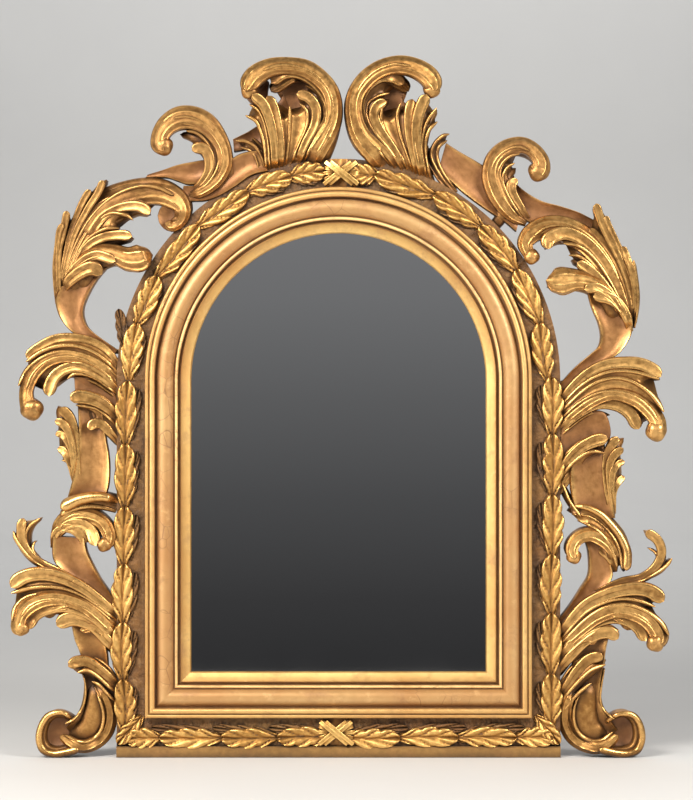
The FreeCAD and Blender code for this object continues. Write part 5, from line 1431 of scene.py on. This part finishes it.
# Tones across the mouldings, with painted highlights on the crests and painted shade in the grooves
# and on the ground round the leaves: metres out from the sight edge, colour
slip_gold = moulding("bright_gold", [
    (0.0, (0.54, 0.33, 0.10)), (0.002, (0.84, 0.57, 0.21)), (0.0100, (0.66, 0.41, 0.14)),
    (0.0140, (0.46, 0.26, 0.085)), (0.0165, (0.24, 0.12, 0.04))], 0.62, 0.32)
torus_gold = moulding("toned_gold", [
    (0.0165, (0.24, 0.12, 0.04)), (0.0185, (0.60, 0.37, 0.14)), (0.0195, (0.98, 0.68, 0.30)),
    (0.0215, (0.98, 0.68, 0.30)), (0.0228, (0.32, 0.17, 0.065)), (0.0245, (0.50, 0.285, 0.11)),
    (0.0330, (0.53, 0.31, 0.12)), (0.0385, (0.60, 0.37, 0.155)), (0.0435, (0.52, 0.32, 0.135)),
    (0.0475, (0.30, 0.165, 0.07))], 0.35, 0.34, cracks=True)
bead_gold = moulding("bead_gold", [
    (0.0495, (0.36, 0.20, 0.08)), (0.0508, (0.82, 0.53, 0.20)), (0.0565, (0.84, 0.55, 0.21)),
    (0.0578, (0.30, 0.16, 0.065)), (0.0592, (0.74, 0.47, 0.17)), (0.0630, (0.68, 0.42, 0.15)),
    (0.0650, (0.24, 0.12, 0.045))], 0.60, 0.30)
ground_gold = moulding("ground_gold", [
    (0.0640, (0.46, 0.26, 0.10)), (0.0672, (0.40, 0.22, 0.075)), (0.0700, (0.27, 0.135, 0.036)),
    (0.1040, (0.21, 0.100, 0.025))], 0.25, 0.46, span=0.105, grit=0.0024)
board_gold = gilding("gilt_board", (0.44, 0.25, 0.08), (0.27, 0.145, 0.045), (0.05, 0.025, 0.010),
                     0.010, 0.20, 0.6, 0.34)
pine = wood("pine", (0.40, 0.25, 0.13), (0.20, 0.11, 0.05), "z")
pine_level = wood("pine_level", (0.40, 0.25, 0.13), (0.20, 0.11, 0.05), "x")
panel = wood("back_panel", (0.34, 0.21, 0.115), (0.16, 0.09, 0.045), "z")
hardwood = wood("hardwood", (0.24, 0.12, 0.06), (0.11, 0.05, 0.025), "x")
dowel_wood = wood("dowel", (0.46, 0.31, 0.17), (0.28, 0.17, 0.08), "z")
steel = metal("steel", (0.36, 0.35, 0.34), (0.14, 0.10, 0.08), 0.38)
brass = metal("brass", (0.62, 0.43, 0.16), (0.22, 0.14, 0.06), 0.32)


def silver_with_painted_reflection():
    """Mirror silver with a painted reflection of a dim room: smooth, grey, darker towards the foot.
    """
    s = Shader("silvered_glass")
    rise = s.fit(s.axis("Z"), 0.12, 0.74)
    # Painted reflection: dark at the foot, nearly white at the top
    tone = s.ramp(rise, [
        (0.0, (0.15, 0.15, 0.152)), (0.16, (0.215, 0.212, 0.214)), (0.39, (0.37, 0.37, 0.372)),
        (0.61, (0.58, 0.58, 0.58)), (0.84, (0.84, 0.84, 0.84)), (1.0, (0.95, 0.945, 0.95))])
    return s.finish(tone, 1.0, s.fit(s.noise(7.0), 0.3, 0.7, 0.03, 0.06))


glass = silver_with_painted_reflection()

NODE_MATERIALS = {
    "back_frame": pine, "back_frame_bottom_rail": pine_level, "base_board": board_gold,
    "slip": slip_gold, "bead": bead_gold, "torus": torus_gold, "mirror_plate": glass,
    "backboard": panel, "plate_blocks": pine, "garland": garland_gold,
    "ribbon_tie": garland_gold, "carving_dowels": dowel_wood, "frame_dowels": dowel_wood,
    "turn_button": hardwood, "turn_button_screws": brass, "hanger_strap": steel,
    "hanger_ring": steel, "hanger_screws": steel,
}
for name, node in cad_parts.items():
    keys = [k for k in NODE_MATERIALS if name.startswith(k)]
    chosen = NODE_MATERIALS[max(keys, key=len)] if keys else carved_gold
    node.data.materials.clear()
    node.data.materials.append(chosen)

# Carvings, some of them rubbed darker
RUBBED = ("shoulder_scroll_left", "shoulder_scroll_right", "upper_leaf_left")
for name, cores in CORES.items():
    shell = Shell()
    rows = core_rows(cores)
    for place, half, front in rows:
        core_strand(shell, place, half, front)
    for row in BANDS.get(name, []):
        band(shell, *row)
    for row in RECESSES.get(name, []):
        recess(shell, *row)
    for points in STRAPS.get(name, []):
        strap(shell, points, rows)
    for row in KNOBS.get(name, []):
        knob(shell, *row)
    for row in RIBS[name]:
        rib(shell, *row, rows)
    for (_, _, first), (_, _, second) in zip(RIBS[name], RIBS[name][1:]):
        web(shell, first, second, rows)
    gold = rubbed_gold if name in RUBBED else carved_gold
    shell.piece("carved_" + name, gold, "carved_gold", name)

# Garland leaves over the ground of the frieze
for side, name in ((-1, "left"), (1, "right")):
    ends = in_space(SIDE_TIPS[side])
    angles = ARCH_TIPS[side]
    places = BOTTOM_TIPS[side]

    shell = Shell()
    rails = []
    for z in np.linspace(GROUND_FOOT, SPRING_HEIGHT, 180):
        inner = max(INNER, SIGHT_HALF_WIDTH + SIGHT_BOTTOM - z)
        rails.append(((side * min(inner, OUTER - SLIVER), z), (side * OUTER, z)))
    ground(shell, rails, 3 + side)
    for i, (tip, root) in neighbours(ends):
        low_leaf(shell, root + (-side * 0.007, 0.004), tip + (-side * 0.0155, -0.012), i * 0.53)
    shell.piece("ground_" + name, ground_gold, "carved_gold", "garland_" + name)

    shell = Shell()
    rails = [(arch_point(side * a, INNER), arch_point(side * a, OUTER))
             for a in np.linspace(2.4, 90, 190)]
    ground(shell, rails, 13 + side)
    for i, (near, far) in neighbours(angles):
        low_leaf(shell, arch_point(side * far, ARCH_LEAF_RADIUS - 0.006),
                 arch_point(side * (near + 2.2), ARCH_LEAF_RADIUS - 0.0125), i * 0.53)
    if side < 0:
        low_leaf(shell, *in_space(STRAY_LEAF), 0.4)
    shell.piece("ground_arch_" + name, ground_gold, "carved_gold", "garland_arch_" + name)

    shell = Shell()
    rails = []
    for x in np.linspace(0.0121, OUTER - SLIVER, 160):
        top = min(SIGHT_BOTTOM - 0.064, SIGHT_BOTTOM + SIGHT_HALF_WIDTH - x)
        rails.append(((side * x, max(top, 0.0152)), (side * x, GROUND_FOOT)))
    ground(shell, rails, 23 + side)
    for i, (near, far) in neighbours(places[1:]):
        low_leaf(shell, (across(far), BOTTOM_LEVEL + 0.006),
                 (across(near + side * 8), BOTTOM_LEVEL + 0.0145), i * 0.53)
    shell.piece("ground_bottom_" + name, ground_gold, "carved_gold", "garland_bottom_" + name)

    shell = Shell()
    for i, (tip, root) in neighbours(ends):
        garland_leaf(shell, root + (tip - root) * -0.05, tip, i * 0.37 + side)
    shell.piece("leaves_" + name, garland_gold, "carved_gold")

    shell = Shell()
    for i, (near, far) in neighbours(angles):
        garland_leaf(shell, arch_point(side * (far + 1.0), ARCH_LEAF_RADIUS),
                     arch_point(side * near, ARCH_LEAF_RADIUS), i * 0.61)
    shell.piece("leaves_arch_" + name, garland_gold, "carved_gold")

    shell = Shell()
    for i, (near, far) in neighbours(places):
        garland_leaf(shell, (across(far - side * 2), BOTTOM_LEVEL), (across(near), BOTTOM_LEVEL),
                     i * 0.43 + 0.2, LEAF_HALF * 0.96)
    garland_leaf(shell, *in_space(CORNER_LEAVES[side]), 0.7, LEAF_HALF * 0.74)
    shell.piece("leaves_bottom_" + name, garland_gold, "carved_gold")

# Crossed ribbons over a fan of plain ones, which bind the leaves at the crown and at the foot:
# name, middle in pixels, height, how far the fan's outer ends drop
for name, px, z, drop in (("top", 341, SPRING_HEIGHT + FRIEZE_MIDDLE, 0.0012),
                          ("bottom", 336, SIGHT_BOTTOM - 0.084, 0)):
    shell = Shell()
    middle = across(px)
    ground(shell, [((x, z - TIE_HALF), (x, z + TIE_HALF))
                   for x in np.linspace(-0.0125, 0.0125, 12)], 31)
    for side in (-1, 1):
        for k in range(-2, 3):
            lean = k * 0.0062
            start = (middle + side * 0.004, z + lean * 0.3)
            end = (middle + side * (0.0265 - 0.0026 * abs(k)), z + lean * 1.35 - drop)
            ribbon(shell, start, end, 0.0058, GROUND_DEPTH + 0.0075)
    for shift in (-0.0038, 0.0038):
        foot, head = z - 0.0165, z + 0.0150
        ribbon(shell, (middle - 0.020 + shift, foot), (middle + 0.018 + shift, head),
               0.0062, GROUND_DEPTH + 0.0118)
        ribbon(shell, (middle - 0.018 + shift, head), (middle + 0.020 + shift, foot),
               0.0062, GROUND_DEPTH + 0.0132)
    shell.piece("tie_" + name, garland_gold, "carved_gold", "ribbon_tie_" + name)


# Floor, backdrop, light and camera
SWEEP_START = 6.0
SWEEP_RADIUS = 1.5
SWEEP_STEPS = 16
BACKDROP_HALF_WIDTH = 9.0
BACKDROP_TOP = 6.0


def backdrop():
    """Pale floor that sweeps up into a pale wall."""
    mesh = bpy.data.meshes.new("backdrop")
    rows = [(-1.25, 0.0), (0.6, 0.0), (3.0, 0.0), (SWEEP_START, 0.0)]
    for k in range(1, SWEEP_STEPS + 1):
        a = radians(90) * k / SWEEP_STEPS
        rows.append((SWEEP_START + SWEEP_RADIUS * sin(a), SWEEP_RADIUS - SWEEP_RADIUS * cos(a)))
    rows.append((SWEEP_START + SWEEP_RADIUS, BACKDROP_TOP))
    points = [(x, y, z - 0.0005) for y, z in rows
              for x in (-BACKDROP_HALF_WIDTH, BACKDROP_HALF_WIDTH)]
    faces = [(2 * i, 2 * i + 1, 2 * i + 3, 2 * i + 2) for i in range(len(rows) - 1)]
    mesh.from_pydata(points, [], faces)
    mesh.polygons.foreach_set("use_smooth", [True] * len(mesh.polygons))
    s = Shader("backdrop")
    tone = s.mix(s.noise(3.0), (0.60, 0.595, 0.585), (0.64, 0.635, 0.62))
    mesh.materials.append(s.finish(tone, 0.0, 0.85))
    made = bpy.data.objects.new("backdrop", mesh)
    bpy.context.scene.collection.objects.link(made)


def lamp(name, place, target, size, power, tint=(1, 1, 1)):
    data = bpy.data.lights.new(name, "AREA")
    data.shape = "RECTANGLE"
    data.size, data.size_y = size
    data.energy = power
    data.color = tint
    made = bpy.data.objects.new(name, data)
    bpy.context.scene.collection.objects.link(made)
    made.location = place
    made.rotation_euler = (Vector(target) - Vector(place)).to_track_quat("-Z", "Y").to_euler()


backdrop()
lamp("key", (-1.15, -1.9, 1.75), (0, 0, 0.5), (1.0, 0.8), 72, (1.0, 0.96, 0.90))
lamp("left", (-2.0, -1.3, 0.9), (0, 0, 0.5), (0.5, 1.8), 24, (1.0, 0.97, 0.93))
lamp("right", (1.6, -1.5, 1.5), (0.3, 0, 0.5), (0.6, 1.0), 46, (1.0, 0.97, 0.93))
lamp("floor", (0.0, 3.2, 3.4), (0, 3.2, 0.0), (4.5, 3.0), 62)
lamp("wall", (0.0, 5.4, 3.8), (0, 7.5, 1.4), (6.0, 0.8), 84)
world = bpy.data.worlds.new("studio")
world.use_nodes = True
world.node_tree.nodes["Background"].inputs["Color"].default_value = (0.80, 0.81, 0.83, 1)
world.node_tree.nodes["Background"].inputs["Strength"].default_value = 0.22
bpy.context.scene.world = world
bpy.context.scene.view_settings.view_transform = "Standard"

DISTANCE = 4.0
SENSOR = 36
PHOTO_HEIGHT_PX = 800
PHOTO_MIDDLE_PX = 346.5
EYE_HEIGHT = 0.4987
camera_data = bpy.data.cameras.new("camera")
camera_data.sensor_width = SENSOR
camera_data.lens = SENSOR * DISTANCE / (PHOTO_HEIGHT_PX * PIXEL)
camera = bpy.data.objects.new("camera", camera_data)
camera.location = (across(PHOTO_MIDDLE_PX), -0.03 - DISTANCE, EYE_HEIGHT)
camera.rotation_euler = (radians(90), 0, 0)
bpy.context.scene.collection.objects.link(camera)
bpy.context.scene.camera = camera
